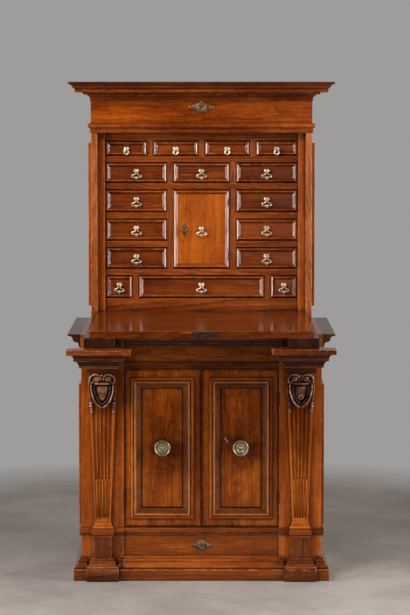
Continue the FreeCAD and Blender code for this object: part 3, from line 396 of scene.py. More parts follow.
def wood(name, dark, middle, pale, worn, figure=0.02, bands=0.2, pores=0.5, wear=0.7, wax=0.7,
         gloss=(0.17, 0.34), sheen=0.22, marked=None):
    """Waxed walnut. Colours are written as 0 to 255, gloss is the span of its roughness, and marked adds a
    layer of its own."""
    material, tree, shader = new_material(name)
    grain = shader_node(tree, "Attribute", {"attribute_name": "grain"}).outputs["Vector"]
    board = shader_node(tree, "Attribute", {"attribute_name": "tone"}).outputs["Fac"]
    figured = shader_node(tree, "Group", {"node_tree": figure_group}, Grain=grain, Dark=linear(*dark),
                          Middle=linear(*middle), Pale=linear(*pale), Rings=ring_scale, Figure=figure,
                          Bands=bands, Pores=pores).outputs
    toned = shader_node(tree, "HueSaturation", None, Value=board, Color=figured["Colour"]).outputs["Color"]
    # The last colour goes on outer edges as rubbed wood and a painted highlight; the wax strength also sets the
    # painted shade.
    aged = shader_node(tree, "Group", {"node_tree": wear_wax_shade_nodes}, Colour=toned, Worn=linear(*worn),
                       Wear=wear, Wax=wax).outputs["Colour"]
    if marked:
        aged = marked(tree, aged)
    tree.links.new(aged, shader.inputs["Base Color"])
    tree.links.new(remap(tree, figured["Shine"], 0.0, 1.0, *gloss), shader.inputs["Roughness"])
    bump = shader_node(tree, "Bump", None, Strength=0.25, Distance=0.0004, Height=figured["Height"])
    tree.links.new(bump.outputs[0], shader.inputs["Normal"])
    shader.inputs["Specular IOR Level"].default_value = sheen
    return material


woods = {
    "rail": wood("walnut_rail", (62, 22, 4), (118, 53, 14), (158, 82, 30), (204, 134, 86), bands=0.3),
    "drawer": wood("walnut_drawer", (58, 18, 2), (108, 43, 6), (150, 74, 17), (216, 154, 116),
                   figure=0.04, bands=0.3, wear=0.4, gloss=polish, sheen=0.8),
    # Pale wood for the sloping ends of the drawers: worn wood and a painted highlight.
    "bevel": wood("walnut_worn_and_lit_bevel", (116, 66, 48), (170, 118, 95), (208, 164, 140), (228, 194, 172),
                  bands=0.1, wear=0.4, wax=0.6, gloss=polish, sheen=0.8),
    "small_door": wood("walnut_small_door", (94, 37, 3), (148, 67, 5), (184, 98, 16), (216, 152, 104),
                       figure=0.05, bands=0.25, pores=0.8),
    "case": wood("walnut_case", (94, 37, 8), (154, 72, 18), (196, 109, 40), (214, 148, 100), bands=0.25),
    "edge": wood("walnut_raw_edge", (88, 38, 10), (136, 67, 25), (176, 106, 56), (210, 156, 118),
                 bands=0.25, pores=0.8),
    # The right-hand front edge: painted paler, as painted light from the right.
    "pale_edge": wood("walnut_lit_edge", (112, 54, 22), (176, 98, 50), (210, 146, 100), (220, 172, 136),
                      bands=0.25, pores=0.8),
    "frieze": wood("walnut_frieze", (72, 24, 2), (128, 53, 5), (176, 88, 18), (186, 116, 66),
                   figure=0.03, pores=0.7),
    "crown": wood("walnut_crown", (58, 22, 4), (114, 48, 11), (164, 82, 28), (190, 122, 76), wax=0.9),
    # Dark wood: dust on the crown's top, and painted shade on the base cornice and on the tops of the
    # pilasters.
    "crown_top": wood("walnut_dust_and_shade", (34, 15, 8), (62, 27, 13), (92, 46, 24), (150, 96, 62)),
    "flap": wood("walnut_writing_board", (58, 20, 4), (94, 39, 8), (124, 59, 18), (206, 142, 94),
                 gloss=(0.08, 0.2), sheen=0.3, marked=scratches),
    "door_frame": wood("walnut_door_frame", (82, 34, 5), (150, 72, 14), (196, 110, 32), (212, 146, 88),
                       wear=0.3, wax=1.0, marked=grease_and_painted_shade),
    "door_panel": wood("walnut_door_panel", (74, 29, 3), (140, 64, 9), (188, 102, 26), (196, 128, 70),
                       figure=0.05, pores=0.8, wax=1.0, marked=grease_and_painted_shade),
    # The ridge of a door moulding is painted pale as a highlight, and its hollow dark as painted shade.
    "door_ridge": wood("walnut_door_ridge_highlight", (84, 38, 12), (142, 78, 34), (184, 118, 66), (212, 166, 124),
                       bands=0.1, wax=0.8, gloss=polish, sheen=0.7),
    "door_hollow": wood("walnut_door_hollow_shade", (56, 24, 6), (100, 48, 14), (140, 76, 26), (190, 130, 80),
                        bands=0.15, wear=0.3, wax=1.0, marked=grease_and_painted_shade),
    "post": wood("walnut_post", (94, 40, 7), (154, 73, 15), (198, 113, 36), (220, 158, 102)),
    "base": wood("walnut_base", (74, 30, 6), (126, 58, 13), (168, 92, 33), (206, 144, 94)),
    "plinth": wood("walnut_plinth", (60, 24, 5), (110, 50, 12), (152, 82, 30), (200, 138, 90)),
    "dark_base": wood("walnut_dark_base", (44, 18, 5), (88, 38, 11), (128, 66, 27), (190, 130, 84)),
    "loper": wood("walnut_loper", (58, 22, 5), (108, 46, 13), (154, 80, 32), (214, 150, 96), wax=0.9),
    # Nearly black wood, as painted shade on the faces of the lopers' heads that face down.
    "strip": wood("walnut_shade_strip", (16, 8, 5), (36, 17, 9), (62, 32, 17), (120, 80, 52)),
    # Nearly black wood, as painted shade on the strips under the writing board and in the grooves of the door
    # mouldings.
    "underside": wood("walnut_underside_shade", (22, 10, 5), (46, 21, 9), (74, 38, 19), (120, 80, 52)),
    "carving": wood("walnut_carving", (58, 25, 9), (116, 56, 20), (164, 96, 46), (206, 168, 142),
                    pores=0.3, wear=0.6, wax=0.9, gloss=(0.16, 0.3), sheen=0.8),
    "hidden": wood("walnut_inside", (40, 18, 8), (66, 32, 14), (92, 50, 26), (120, 76, 46),
                   bands=0.5, wax=0.0, gloss=(0.6, 0.75), sheen=0.15),
}
print("woods:", len(woods))

# %% [markdown]
# ## Metals
# The pulls and knobs are cast brass: bright where fingers polish them, brown in the hollows. The lock
# plates and hinges are forged iron, nearly black, with a rough skin. A rough patchy noise drives colour and
# roughness together, because tarnish is both darker and duller.

# %% Metals
hollow_reach = 0.006


def metal(name, bright, dull, scale, shine, patches=(0.42, 0.66), metallic=1.0):
    """A metal whose tarnish is darker and duller than its bare places."""
    material, tree, shader = new_material(name)
    places = object_places(tree)
    patchy = noise(tree, places, scale, 6.0, 0.65)
    fine_grain = noise(tree, places, scale * 9, 3.0)
    tarnish = remap(tree, patchy, *patches)
    bare = blend_colour(tree, "MIX", tarnish, linear(*bright), linear(*dull))
    dirt = remap(tree, openness(tree, hollow_reach), 0.35, 0.9, 0.95, 0.0)
    tree.links.new(darkened(tree, dirt, bare, 0.1, 0.065, 0.035), shader.inputs["Base Color"])
    tree.links.new(remap(tree, tarnish, 0.0, 1.0, *shine), shader.inputs["Roughness"])
    bump = shader_node(tree, "Bump", None, Strength=0.2, Distance=0.0003,
                       Height=maths(tree, "ADD", maths(tree, "MULTIPLY", fine_grain, 0.4), patchy))
    tree.links.new(bump.outputs[0], shader.inputs["Normal"])
    shader.inputs["Metallic"].default_value = metallic
    return material


brass = metal("old_brass", (242, 222, 188), (150, 116, 72), 200.0, (0.34, 0.5), (0.5, 0.74))
knob_brass = metal("knob_brass", (204, 192, 156), (150, 134, 98), 34.0, (0.36, 0.46), (0.4, 0.75))
iron = metal("forged_iron", (84, 66, 52), (26, 18, 14), 160.0, (0.4, 0.62), (0.35, 0.6), metallic=0.8)
plate_iron = metal("lock_plate_iron", (150, 116, 88), (66, 42, 30), 110.0, (0.4, 0.6), (0.4, 0.62),
                   metallic=0.85)
key_iron = metal("worn_iron", (208, 200, 190), (120, 108, 96), 200.0, (0.25, 0.45))
# A nearly black sheet that stands for the shade inside each keyhole.
keyhole_shade = metal("painted_keyhole_shade", (10, 6, 4), (4, 2, 2), 60.0, (0.8, 0.9), metallic=0.0)
print("metals:", brass.name, knob_brass.name, iron.name, key_iron.name)

# %% [markdown]
# ## Boards with softened edges
# The CAD boards have knife-sharp edges, and real ones have been rubbed for centuries. A worn edge catches a
# thin line of light, which is most of what makes a picture of furniture look real. Each board is copied
# from the CAD, its triangles are joined into whole faces, and its sharp edges are bevelled.
# A CAD node may hold many solids. The triangles come one solid after the other, and a solid is whole once
# each of its edges has been met twice.

# %% Copy a node, solid by solid
merge_gap = 1e-6
flat_angle = math.radians(0.5)
sharp_angle = math.radians(28)


def each_once(items):
    """Items without doubles, in the order in which they come, so that every run gives the same result."""
    return list(dict.fromkeys(items))


def copy_solids(name, leave_last=False):
    """A bmesh of a CAD node in which each solid is merged by itself and numbered in the face layer solid."""
    bm = bmesh.new()
    bm.from_mesh(nodes[name].data)
    numbered = bm.faces.layers.int.new("solid")
    open_edges, groups, group = set(), [], []
    for face in bm.faces:
        a, b, c = (tuple(vert.co) for vert in face.verts)
        for edge in (frozenset((a, b)), frozenset((b, c)), frozenset((c, a))):
            if len(edge) == 2:
                open_edges ^= {edge}
        face[numbered] = len(groups)
        group.append(face)
        if not open_edges:
            groups.append(each_once(vert for each in group for vert in each.verts))
            group = []
    bmesh.ops.delete(bm, geom=group, context="FACES")
    for verts in groups:
        bmesh.ops.remove_doubles(bm, verts=verts, dist=merge_gap)
    count = len(groups)
    if leave_last:
        count -= 1
        last = [face for face in bm.faces if face[numbered] == count]
        bmesh.ops.delete(bm, geom=last, context="FACES")
    bmesh.ops.dissolve_limit(bm, angle_limit=flat_angle, verts=bm.verts, edges=bm.edges)
    return bm, count


def solid_boxes(bm, count):
    """The lowest and highest corner of each numbered solid."""
    numbered = bm.faces.layers.int["solid"]
    boxes = [[Vector((9, 9, 9)), Vector((-9, -9, -9))] for _ in range(count)]
    for face in bm.faces:
        box = boxes[face[numbered]]
        for vert in face.verts:
            box[0] = Vector(map(min, box[0], vert.co))
            box[1] = Vector(map(max, box[1], vert.co))
    return boxes

# %% [markdown]
# ### Softening and grain
# Bevel cuts each sharp edge into a narrow rounded strip. The faces that it makes are remembered in an
# attribute: outer edges get 1, where the shader paints them pale, as rubbed wood and a painted highlight,
# and inner corners get -1, where it paints them dark, as old wax and painted shade. A second attribute,
# grain, holds each corner's place with the board's own grain first, and a third makes every board a little
# lighter or darker than the next.

# %% Soften a board's edges
def soften(bm, count, width):
    """Bevels the sharp edges of each solid by itself, so that one fine moulding doesn't limit the others."""
    numbered = bm.faces.layers.int["solid"]
    wear = bm.faces.layers.float.new("wear")
    for i in range(count):
        edges = [edge for edge in bm.edges if len(edge.link_faces) == 2
                 and edge.link_faces[0][numbered] == i and edge.calc_face_angle(0) > sharp_angle]
        if not edges:
            continue
        made = bmesh.ops.bevel(bm, geom=edges, offset=width, offset_type="OFFSET", segments=2,
                               profile=0.5, affect="EDGES", clamp_overlap=True, material=-1)
        for face in made["faces"]:
            turn = sum(edge.calc_face_angle_signed(0) * edge.calc_length() for edge in face.edges)
            # Outer bevels are painted pale, as rubbed wood and a painted highlight; inner ones dark, as old wax
            # and painted shade.
            face[wear] = 1 if turn > 0 else -1


def smooth(bm):
    """Shades every face smoothly. The bevels keep the flat faces flat."""
    for face in bm.faces:
        face.smooth = True


def set_wear_and_light(bm, wear_and_light_value):
    """Gives every face the same value: above 0 paints it pale as rubbed wood and a painted highlight, below 0
    dark as old wax and painted shade.
    """
    wear = bm.faces.layers.float.new("wear")
    for face in bm.faces:
        face[wear] = wear_and_light_value


axis_order = {"X": (0, 1, 2), "Y": (1, 0, 2), "Z": (2, 0, 1)}


def lay_grain(bm, boxes, way_of, seed):
    """Writes the grain coordinates on every corner and a tone on every face."""
    numbered = bm.faces.layers.int["solid"]
    grain = bm.loops.layers.float_vector.new("grain")
    tone = bm.faces.layers.float.new("tone")
    draw = random.Random(seed)
    starts = []
    for _ in boxes:
        turn, far = draw.uniform(0, 2 * math.pi), draw.uniform(0.03, 0.11)
        starts.append((Vector((draw.uniform(-9, 9), far * math.cos(turn), far * math.sin(turn))),
                       draw.uniform(-0.06, 0.06), draw.uniform(0.86, 1.12)))
    for face in bm.faces:
        i = face[numbered]
        start, lean, shade = starts[i]
        order = axis_order[way_of(i, boxes[i], face.calc_center_median(), face.normal)]
        middle = (boxes[i][0] + boxes[i][1]) / 2
        face[tone] = shade
        for loop in face.loops:
            local = loop.vert.co - middle
            along, across, deep = (local[k] for k in order)
            loop[grain] = start + Vector((along, across + lean * along, deep + lean * along))


def longest(i, box, centre, normal):
    """Grain along the board's longest side."""
    size = box[1] - box[0]
    return "XYZ"[max(range(3), key=lambda k: size[k])]


def even_normals(piece, weight=50):
    """Lets the broad faces decide the shading of the narrow bevels beside them."""
    modifier = piece.modifiers.new("even_normals", "WEIGHTED_NORMAL")
    modifier.keep_sharp = True
    modifier.weight = weight


def finish_piece(bm, name, materials, body, slot_name, *replaced):
    """Turns a bmesh into a finished piece that rides on its body."""
    mesh = bpy.data.meshes.new(name)
    bm.to_mesh(mesh)
    bm.free()
    for material in materials:
        mesh.materials.append(material)
    piece = bpy.data.objects.new(name, mesh)
    bpy.context.scene.collection.objects.link(piece)
    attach(piece, body)
    if replaced:
        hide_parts(*replaced)
    return piece

# %% [markdown]
# ### Which way the grain runs
# A joiner lays the grain along a rail, up a stile and along a moulding. The dividers of the nest stand
# upright in front view although they are deeper than they are high, so they get a rule of their own. A
# drawer's moulding and a door's frame are mitred or joined at the corners: a face takes the way of the side
# that it lies nearest to.

# %% Rules for grain and finish
hinge_part_limit = 0.055
divider_limit = 0.026
field_inset = 0.0175
door_frame_inset = 0.062
frieze_foot_z, architrave_top_z = 0.71, 0.76
pilaster_foot_top_z = 0.2055
crown_top_z = 1.69
cheek_x, side_height = 0.33, 0.5
facing_front, facing_up, facing_down = -0.9, 0.7, -0.2
slope_front, slope_aside = -0.3, 0.4


def nest_way(i, box, centre, normal):
    """Dividers upright, and rails and shelves crosswise."""
    size = box[1] - box[0]
    if size.x < divider_limit:
        return "Z"
    return "X" if size.z < divider_limit * 2 else longest(i, box, centre, normal)


def nearest_side(box, centre):
    """X for a face nearest to the top or bottom of a front, Z for one nearest to its left or right."""
    aside = min(centre.x - box[0].x, box[1].x - centre.x)
    above = min(centre.z - box[0].z, box[1].z - centre.z)
    return ("Z" if aside < above else "X"), min(aside, above)


def drawer_way(i, box, centre, normal):
    """The moulding runs round the front, the field crosswise, and the boards behind it lengthwise."""
    if i > 0:
        return longest(i, box, centre, normal)
    side, inset = nearest_side(box, centre)
    return side if inset < field_inset else "X"


def small_door_way(i, box, centre, normal):
    """The moulding runs round the door, and its field is upright."""
    side, inset = nearest_side(box, centre)
    return side if inset < field_inset else "Z"


def door_way(i, box, centre, normal):
    """Rails and mouldings run round the door, and its panel is upright."""
    side, inset = nearest_side(box, centre)
    return side if inset < door_frame_inset else "Z"


def dress(name, width, way_of, keys, key_of, slot_name, leave_last=False, hinged=False, without=None):
    """Replaces a CAD node of boards by its softened copy. key_of gives each face's place in keys, and
    without says which solids are left out because they are modelled again further on."""
    bm, count = copy_solids(name, leave_last)
    boxes = solid_boxes(bm, count)
    numbered = bm.faces.layers.int["solid"]
    if without:
        left_out = [face for face in bm.faces if without(*boxes[face[numbered]])]
        bmesh.ops.delete(bm, geom=left_out, context="FACES")
    iron_parts = {i for i, (low, high) in enumerate(boxes)
                  if hinged and max(high - low) < hinge_part_limit}
    for face in bm.faces:
        i = face[numbered]
        choice = key_of(i, boxes[i], face.calc_center_median(), face.normal)
        face.material_index = len(keys) if i in iron_parts else choice
    soften(bm, count, width)
    lay_grain(bm, boxes, way_of, name)
    open_edges = sum(1 for edge in bm.edges if len(edge.link_faces) != 2)
    smooth(bm)
    finishes = [woods[key] for key in keys] + ([iron] if iron_parts else [])
    piece = finish_piece(bm, name + "_boards", finishes, body_of_node[name], slot_name, name)
    even_normals(piece, 100)
    print(name, "boards", count - len(iron_parts), "iron", len(iron_parts),
          "faces", len(piece.data.polygons), "open edges", open_edges)


def worn_and_lit_end(box, centre, normal):
    """True for the sloping left and right ends of a front, which are painted pale as worn wood and a painted
    highlight.
    """
    outward = normal.x if centre.x > (box[0].x + box[1].x) / 2 else -normal.x
    return normal.y < slope_front and outward > slope_aside


# %% Which face gets which finish
def plain(i, box, centre, normal):
    """One finish for the whole piece."""
    return 0


def drawer_finish(i, box, centre, normal):
    """A drawer's front, its ends painted pale as worn wood and a painted highlight, and the plain boards behind
    it.
    """
    return 1 if i else 2 if worn_and_lit_end(box, centre, normal) else 0


def small_door_finish(i, box, centre, normal):
    """The moulding of the small door, its field, and its ends painted pale as worn wood and a painted
    highlight.
    """
    if worn_and_lit_end(box, centre, normal):
        return 2
    return 1 if nearest_side(box, centre)[1] > field_inset else 0


def nest_finish(i, box, centre, normal):
    """The two upright cheeks are paler than the rails and dividers."""
    return 1 if box[0].x > cheek_x or box[1].x < -cheek_x else 0


def case_finish(i, box, centre, normal):
    """The front edges of the two sides are bare wood, and the right-hand one is painted paler, as painted light
    from the right.
    """
    if normal.y >= facing_front or box[1].z - box[0].z <= side_height:
        return 0
    return 1 if centre.x < 0 else 2


def frieze_finish(i, box, centre, normal):
    """The board of the frieze, and the mouldings over and under it."""
    return min(i, 1)


def crown_finish(i, box, centre, normal):
    """Dust and dry wax darken whatever faces up, and the top band is dark as dust and painted shade."""
    return 1 if centre.z > crown_top_z or normal.z > facing_up else 0


def base_finish(i, box, centre, normal):
    """The parts over the doors are darker than the posts, as painted shade under the writing board and the
    cornice.
    """
    return 1 if box[0].z > frieze_foot_z else 0


def moulding_finish(i, box, centre, normal):
    """Dado, then the cornice, then the architrave between them. The cornice and the architrave get darker
    woods, as painted shade under the writing board.
    """
    if box[0].z < frieze_foot_z:
        return 0
    return 1 if box[1].z > architrave_top_z else 2


def loper_finish(i, box, centre, normal):
    """Faces of a loper's head that face down are painted nearly black, as painted shade."""
    return 1 if normal.z < facing_down else 0


def door_finish(i, box, centre, normal):
    """A door's frame and its panel."""
    return 1 if nearest_side(box, centre)[1] > door_frame_inset else 0


# %% Dress the boards
fine, soft, rounded = 0.6 * mm, 1.0 * mm, 1.6 * mm
drawers = [name for name in nodes if "drawer_" in name and not name.startswith("plinth")
           and not name.endswith(("_bail", "nest", "escutcheon"))]

for name in drawers:
    dress(name, fine, drawer_way, ["drawer", "hidden", "bevel"], drawer_finish, "walnut", leave_last=True)
dress("small_door", fine, small_door_way, ["drawer", "small_door", "bevel"], small_door_finish,
      "light_walnut", leave_last=True, hinged=True)
dress("drawer_nest", fine, nest_way, ["rail", "case"], nest_finish, "case_walnut")
dress("upper_case", soft, longest, ["case", "edge", "pale_edge"], case_finish, "case_walnut")
dress("frieze", soft, longest, ["frieze", "crown"], frieze_finish, "walnut")
dress("crown_lid", soft, longest, ["crown", "crown_top"], crown_finish, "walnut", hinged=True)
dress("fall_front", soft, longest, ["flap"], plain, "writing_board_walnut")
# The strips under the writing board are painted dark, as painted shade under it.
dress("fall_front_strips", soft, longest, ["underside"], plain, "writing_board_walnut")
dress("side_frames", soft, longest, ["case"], plain, "walnut")
dress("base_carcase", rounded, longest, ["post", "base"], base_finish, "case_walnut")
dress("base_mouldings", soft, longest, ["plinth", "crown_top", "dark_base"], moulding_finish, "walnut")
dress("plinth", rounded, longest, ["plinth"], plain, "walnut")
dress("pedestals", rounded, longest, ["dark_base"], plain, "walnut")
# The tops of the pilasters get dark wood, as painted shadow under the cornice.
dress("pilasters", soft, longest, ["post", "crown_top"], base_finish, "walnut",
      without=lambda low, high: high.z < pilaster_foot_top_z)
for name in ("left_loper", "right_loper"):
    dress(name, soft, longest, ["loper", "strip"], loper_finish, "walnut")
for name in ("left_door", "right_door"):
    dress(name, fine, door_way, ["door_frame", "door_panel"], door_finish, "walnut", hinged=True)
dress("plinth_drawer", fine, longest, ["base"], plain, "walnut")
print("drawers:", len(drawers))

# %% [markdown]
# ## Making shapes
# Three moves make nearly all of the small parts. A flat outline is filled and extruded, as a sawyer cuts a
# plate. A profile is spun round an axis, as a turner makes a knob. A section is extruded step by step while
# it turns and shrinks, as a carver follows a scroll.

# %% Shape helpers
def mirrored_outline(points):
    """The right-hand half of an outline, from top to bottom, with its mirror image."""
    return list(points) + [(-x, z) for x, z in reversed(points) if x > 0]


def plate_face(bm, points, place, y):
    """An upright face round points in millimetres."""
    verts = [bm.verts.new((place.x + x * mm, y, place.z + z * mm)) for x, z in points]
    face = bm.faces.new(verts)
    face.normal_update()
    return face


def push(bm, faces, depth):
    """Extrudes faces to a depth along Y and returns the new front faces."""
    made = bmesh.ops.extrude_face_region(bm, geom=faces)["geom"]
    verts = [item for item in made if isinstance(item, bmesh.types.BMVert)]
    bmesh.ops.translate(bm, vec=(0, depth, 0), verts=verts)
    return [item for item in made if isinstance(item, bmesh.types.BMFace)]


def raise_field(bm, faces, border, height):
    """Insets front faces by a border and brings what lies inside it forward."""
    bmesh.ops.inset_region(bm, faces=faces, thickness=border, use_even_offset=True)
    verts = each_once(vert for face in faces for vert in face.verts)
    bmesh.ops.translate(bm, vec=(0, -height, 0), verts=verts)


def edges_at(verts):
    """The edges that meet some vertices."""
    return each_once(edge for vert in verts for edge in vert.link_edges)


def tube(bm, centre, axis, length, outer, inner, segments=16):
    """A sleeve: two rims at each end, joined round the outside and the inside."""
    turn = Vector((0, 0, 1)).rotation_difference(Vector(axis)).to_matrix().to_4x4()
    rims = []
    for radius in (outer, inner):
        for end in (-length / 2, length / 2):
            place = Matrix.Translation(centre) @ turn @ Matrix.Translation((0, 0, end))
            made = bmesh.ops.create_circle(bm, segments=segments, radius=radius, matrix=place)
            rims.append(edges_at(made["verts"]))
    low_out, high_out, low_in, high_in = rims
    for first, second in ((low_out, high_out), (high_out, high_in), (high_in, low_in), (low_in, low_out)):
        bmesh.ops.bridge_loops(bm, edges=first + second)


def turned(bm, profile, centre, axis, side, steps=48):
    """Spins a profile of (radius, height) in millimetres round an axis."""
    axis, side = Vector(axis), Vector(side)
    verts = [bm.verts.new(centre + side * (r * mm) + axis * (h * mm)) for r, h in profile]
    edges = [bm.edges.new(pair) for pair in zip(verts, verts[1:])]
    bmesh.ops.spin(bm, geom=verts + edges, cent=centre, axis=axis, angle=2 * math.pi, steps=steps,
                   use_merge=True)
    bmesh.ops.remove_doubles(bm, verts=bm.verts, dist=merge_gap)


def tidy(bm):
    """Merges doubles and turns every face outwards."""
    bmesh.ops.remove_doubles(bm, verts=bm.verts, dist=merge_gap)
    bmesh.ops.recalc_face_normals(bm, faces=bm.faces)
    smooth(bm)


def rounded_off(piece, levels):
    """A Subdivision Surface that is the same in the view and in the render."""
    modifier = piece.modifiers.new("rounded", "SUBSURF")
    modifier.levels = modifier.render_levels = levels

# %% [markdown]
# ## Drop pulls
# Each drawer hangs its bail between two round ears: an open trefoil with a pointed drop on the larger
# drawers, a small thick ring on the top row. A cast bail is a flat outline whose edges have been filed
# round. So the outline is filled, inset to leave a bar, pushed out to its thickness and smoothed.

# %% Bails
trefoil_outside = [(0, -2.4), (3.6, -2.6), (5.2, -5.0), (5.6, -8.6), (8.2, -10.9), (12.6, -11.6),
                   (16.8, -13.6), (18.8, -17.2), (17.8, -21.4), (13.8, -24.2), (9.0, -24.2), (5.4, -25.4),
                   (3.2, -29.6), (0, -34.4)]
trefoil_inside = [(0, -6.0), (1.4, -6.3), (1.9, -8.0), (2.4, -10.6), (4.0, -13.4), (7.6, -14.6),
                  (11.6, -15.0), (14.4, -17.2), (13.2, -19.4), (10.2, -20.2), (6.8, -20.0), (4.0, -19.4),
                  (1.8, -18.8), (0, -18.4)]
bail_thickness = 4.8 * mm
eye_radius, eye_bore, eye_length = 2.6 * mm, 1.3 * mm, 5.0 * mm
ring_drop, ring_radius, ring_wire, ring_flat = 12.0 * mm, 7.5 * mm, 3.4 * mm, 0.7


def pivot_of(name):
    """The pivot of a bail: the middle of its eye."""
    low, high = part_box(name)
    return Vector(((low.x + high.x) / 2, (low.y + high.y) / 2, high.z - eye_radius))


def closed_line(bm, points, place, y):
    """A closed line of edges round points in millimetres."""
    verts = [bm.verts.new((place.x + x * mm, y, place.z + z * mm)) for x, z in points]
    return [bm.edges.new(pair) for pair in zip(verts, verts[1:] + verts[:1])]


def trefoil_bail(pivot):
    """An open trefoil with a pointed drop."""
    bm = bmesh.new()
    y = pivot.y + bail_thickness / 2
    outside = closed_line(bm, mirrored_outline(trefoil_outside), pivot, y)
    inside = closed_line(bm, mirrored_outline(trefoil_inside), pivot, y)
    bmesh.ops.bridge_loops(bm, edges=outside + inside)
    push(bm, list(bm.faces), -bail_thickness)
    tube(bm, pivot, (1, 0, 0), eye_length, eye_radius, eye_bore)
    tidy(bm)
    return bm


def ring_bail(pivot):
    """A small thick ring, flattened a little from front to back."""
    bm = bmesh.new()
    section = bmesh.ops.create_circle(bm, segments=12, radius=ring_wire)["verts"]
    bmesh.ops.scale(bm, vec=(1, ring_flat, 1), verts=section)
    bmesh.ops.translate(bm, vec=pivot + Vector((ring_radius, 0, -ring_drop)), verts=section)
    bmesh.ops.spin(bm, geom=section + edges_at(section), cent=pivot - Vector((0, 0, ring_drop)), axis=(0, 1, 0),
                   angle=2 * math.pi, steps=32, use_merge=True)
    tube(bm, pivot, (1, 0, 0), eye_length, eye_radius, eye_bore)
    tidy(bm)
    return bm


bails = [name for name in nodes if name.endswith("_bail")]
for name in bails:
    pivot = pivot_of(name)
    is_ring = name.startswith("top_")
    bm = ring_bail(pivot) if is_ring else trefoil_bail(pivot)
    piece = finish_piece(bm, name + "_cast", [brass], name, "brass", name)
    rounded_off(piece, 1 if is_ring else 2)
print("bails:", len(bails), "faces each before rounding:", len(piece.data.polygons))

# %% Posts, ears and rosettes
rosette_half = [(0, 5.6), (2.2, 6.4), (5.4, 7.2), (8.4, 5.2), (9.0, 1.2), (7.4, -2.2), (4.2, -4.6),
                (0, -5.4)]
rosette_thickness, rosette_border, rosette_rise = 1.5 * mm, 1.2 * mm, 0.75 * mm
ear_profile = [(0, 0), (3.0, 0.2), (2.0, 2.5), (2.0, 6.5), (4.3, 9.4), (4.214, 13.2), (3.01, 15.6),
               (0, 16.6)]
ear_x = 5.9
pin_profile = [(0, -ear_x), (1.15, -ear_x), (1.15, ear_x), (0, ear_x)]
pivot_reach = 12.2 * mm


def post(pivot, face_y):
    """The rosette on the front, and the two ears that hold the pin."""
    bm = bmesh.new()
    face = plate_face(bm, mirrored_outline(rosette_half), pivot, face_y)
    raise_field(bm, push(bm, [face], -rosette_thickness), rosette_border, rosette_rise)
    edges = [edge for edge in bm.edges if edge.calc_face_angle(0) > sharp_angle]
    bmesh.ops.bevel(bm, geom=edges, offset=0.3 * mm, segments=2, profile=0.5, affect="EDGES",
                    material=-1, clamp_overlap=True)
    for side in (-1, 1):
        foot = Vector((pivot.x + side * ear_x * mm, face_y, pivot.z))
        turned(bm, ear_profile, foot, (0, -1, 0), (1, 0, 0), 20)
    turned(bm, pin_profile, pivot, (1, 0, 0), (0, 0, 1), 12)
    tidy(bm)
    return bm


for name in bails:
    owner = name[:-len("_bail")]
    pivot = pivot_of(name)
    finish_piece(post(pivot, pivot.y + pivot_reach), owner + "_ears", [brass], owner, "brass")
print("posts:", len(bails))

# %% [markdown]
# ## Knobs
# The two cupboard knobs are wide turned dishes with a thick rim and a raised centre. A lathe turns such a
# shape from one profile, and Spin does the same.

# %% Knobs
knob_profile = [(0, 35.2), (3.0, 34.9), (5.4, 33.2), (6.6, 31.2), (8.6, 30.6), (10.8, 31.6), (13.0, 33.6),
                (15.2, 34.2), (17.2, 33.0), (18.6, 30.6), (20.2, 30.0), (21.8, 31.8), (23.2, 34.8),
                (25.2, 36.0), (27.0, 34.4), (27.4, 31.6), (26.0, 29.0), (20.0, 24.6), (12.0, 19.4),
                (8.0, 15.6), (6.8, 11.6), (7.6, 8.0), (10.6, 5.4), (13.6, 3.8), (14.2, 1.6), (14.2, 0),
                (0, 0)]
for name in ("left_door_knob", "right_door_knob"):
    low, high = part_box(name)
    centre = Vector(((low.x + high.x) / 2, high.y, (low.z + high.z) / 2))
    bm = bmesh.new()
    turned(bm, knob_profile, centre, (0, -1, 0), (1, 0, 0), 64)
    tidy(bm)
    knob = finish_piece(bm, name + "_turned", [knob_brass], body_of_node[name], "brass", name)
    rounded_off(knob, 1)
print("knob faces:", len(knob.data.polygons))

# %% [markdown]
# ## Lock plates and key
# The lock plates are forged iron, cut to lobes and points and filed at the edges. The key stands in the
# right-hand door, turned a little, so that only the thin edge of its bow is seen from the front.

# %% Lock plates
wide_plate_half = [(0, 21.0), (3.6, 20.4), (5.4, 16.8), (8.4, 15.6), (13.6, 15.0), (18.4, 11.4), (19.6, 7.4),
                   (24.0, 8.8), (29.6, 8.6), (34.2, 5.0), (38.6, 5.4), (43.6, 3.6), (45.4, 0), (43.6, -3.6),
                   (38.6, -5.4), (34.2, -5.0), (29.6, -8.6), (24.0, -8.8), (19.6, -7.4), (18.4, -11.4),
                   (13.6, -15.0), (8.4, -15.6), (5.4, -16.8), (3.6, -20.4), (0, -21.0)]
drawn_width, drawn_height = 90.8, 42.0
keyhole_half = [(0, 3.8), (2.6, 2.8), (3.8, 0), (2.8, -2.6), (1.5, -3.6), (1.9, -10.6), (0, -10.9)]
plate_border, plate_rise, keyhole_rise = 1.3 * mm, 0.7 * mm, 1.2 * mm
pin_head = [(0, 1.9), (1.3, 1.6), (2.0, 0.7), (2.1, 0), (0, 0)]
pin_share, boss_share = 0.41, 0.24


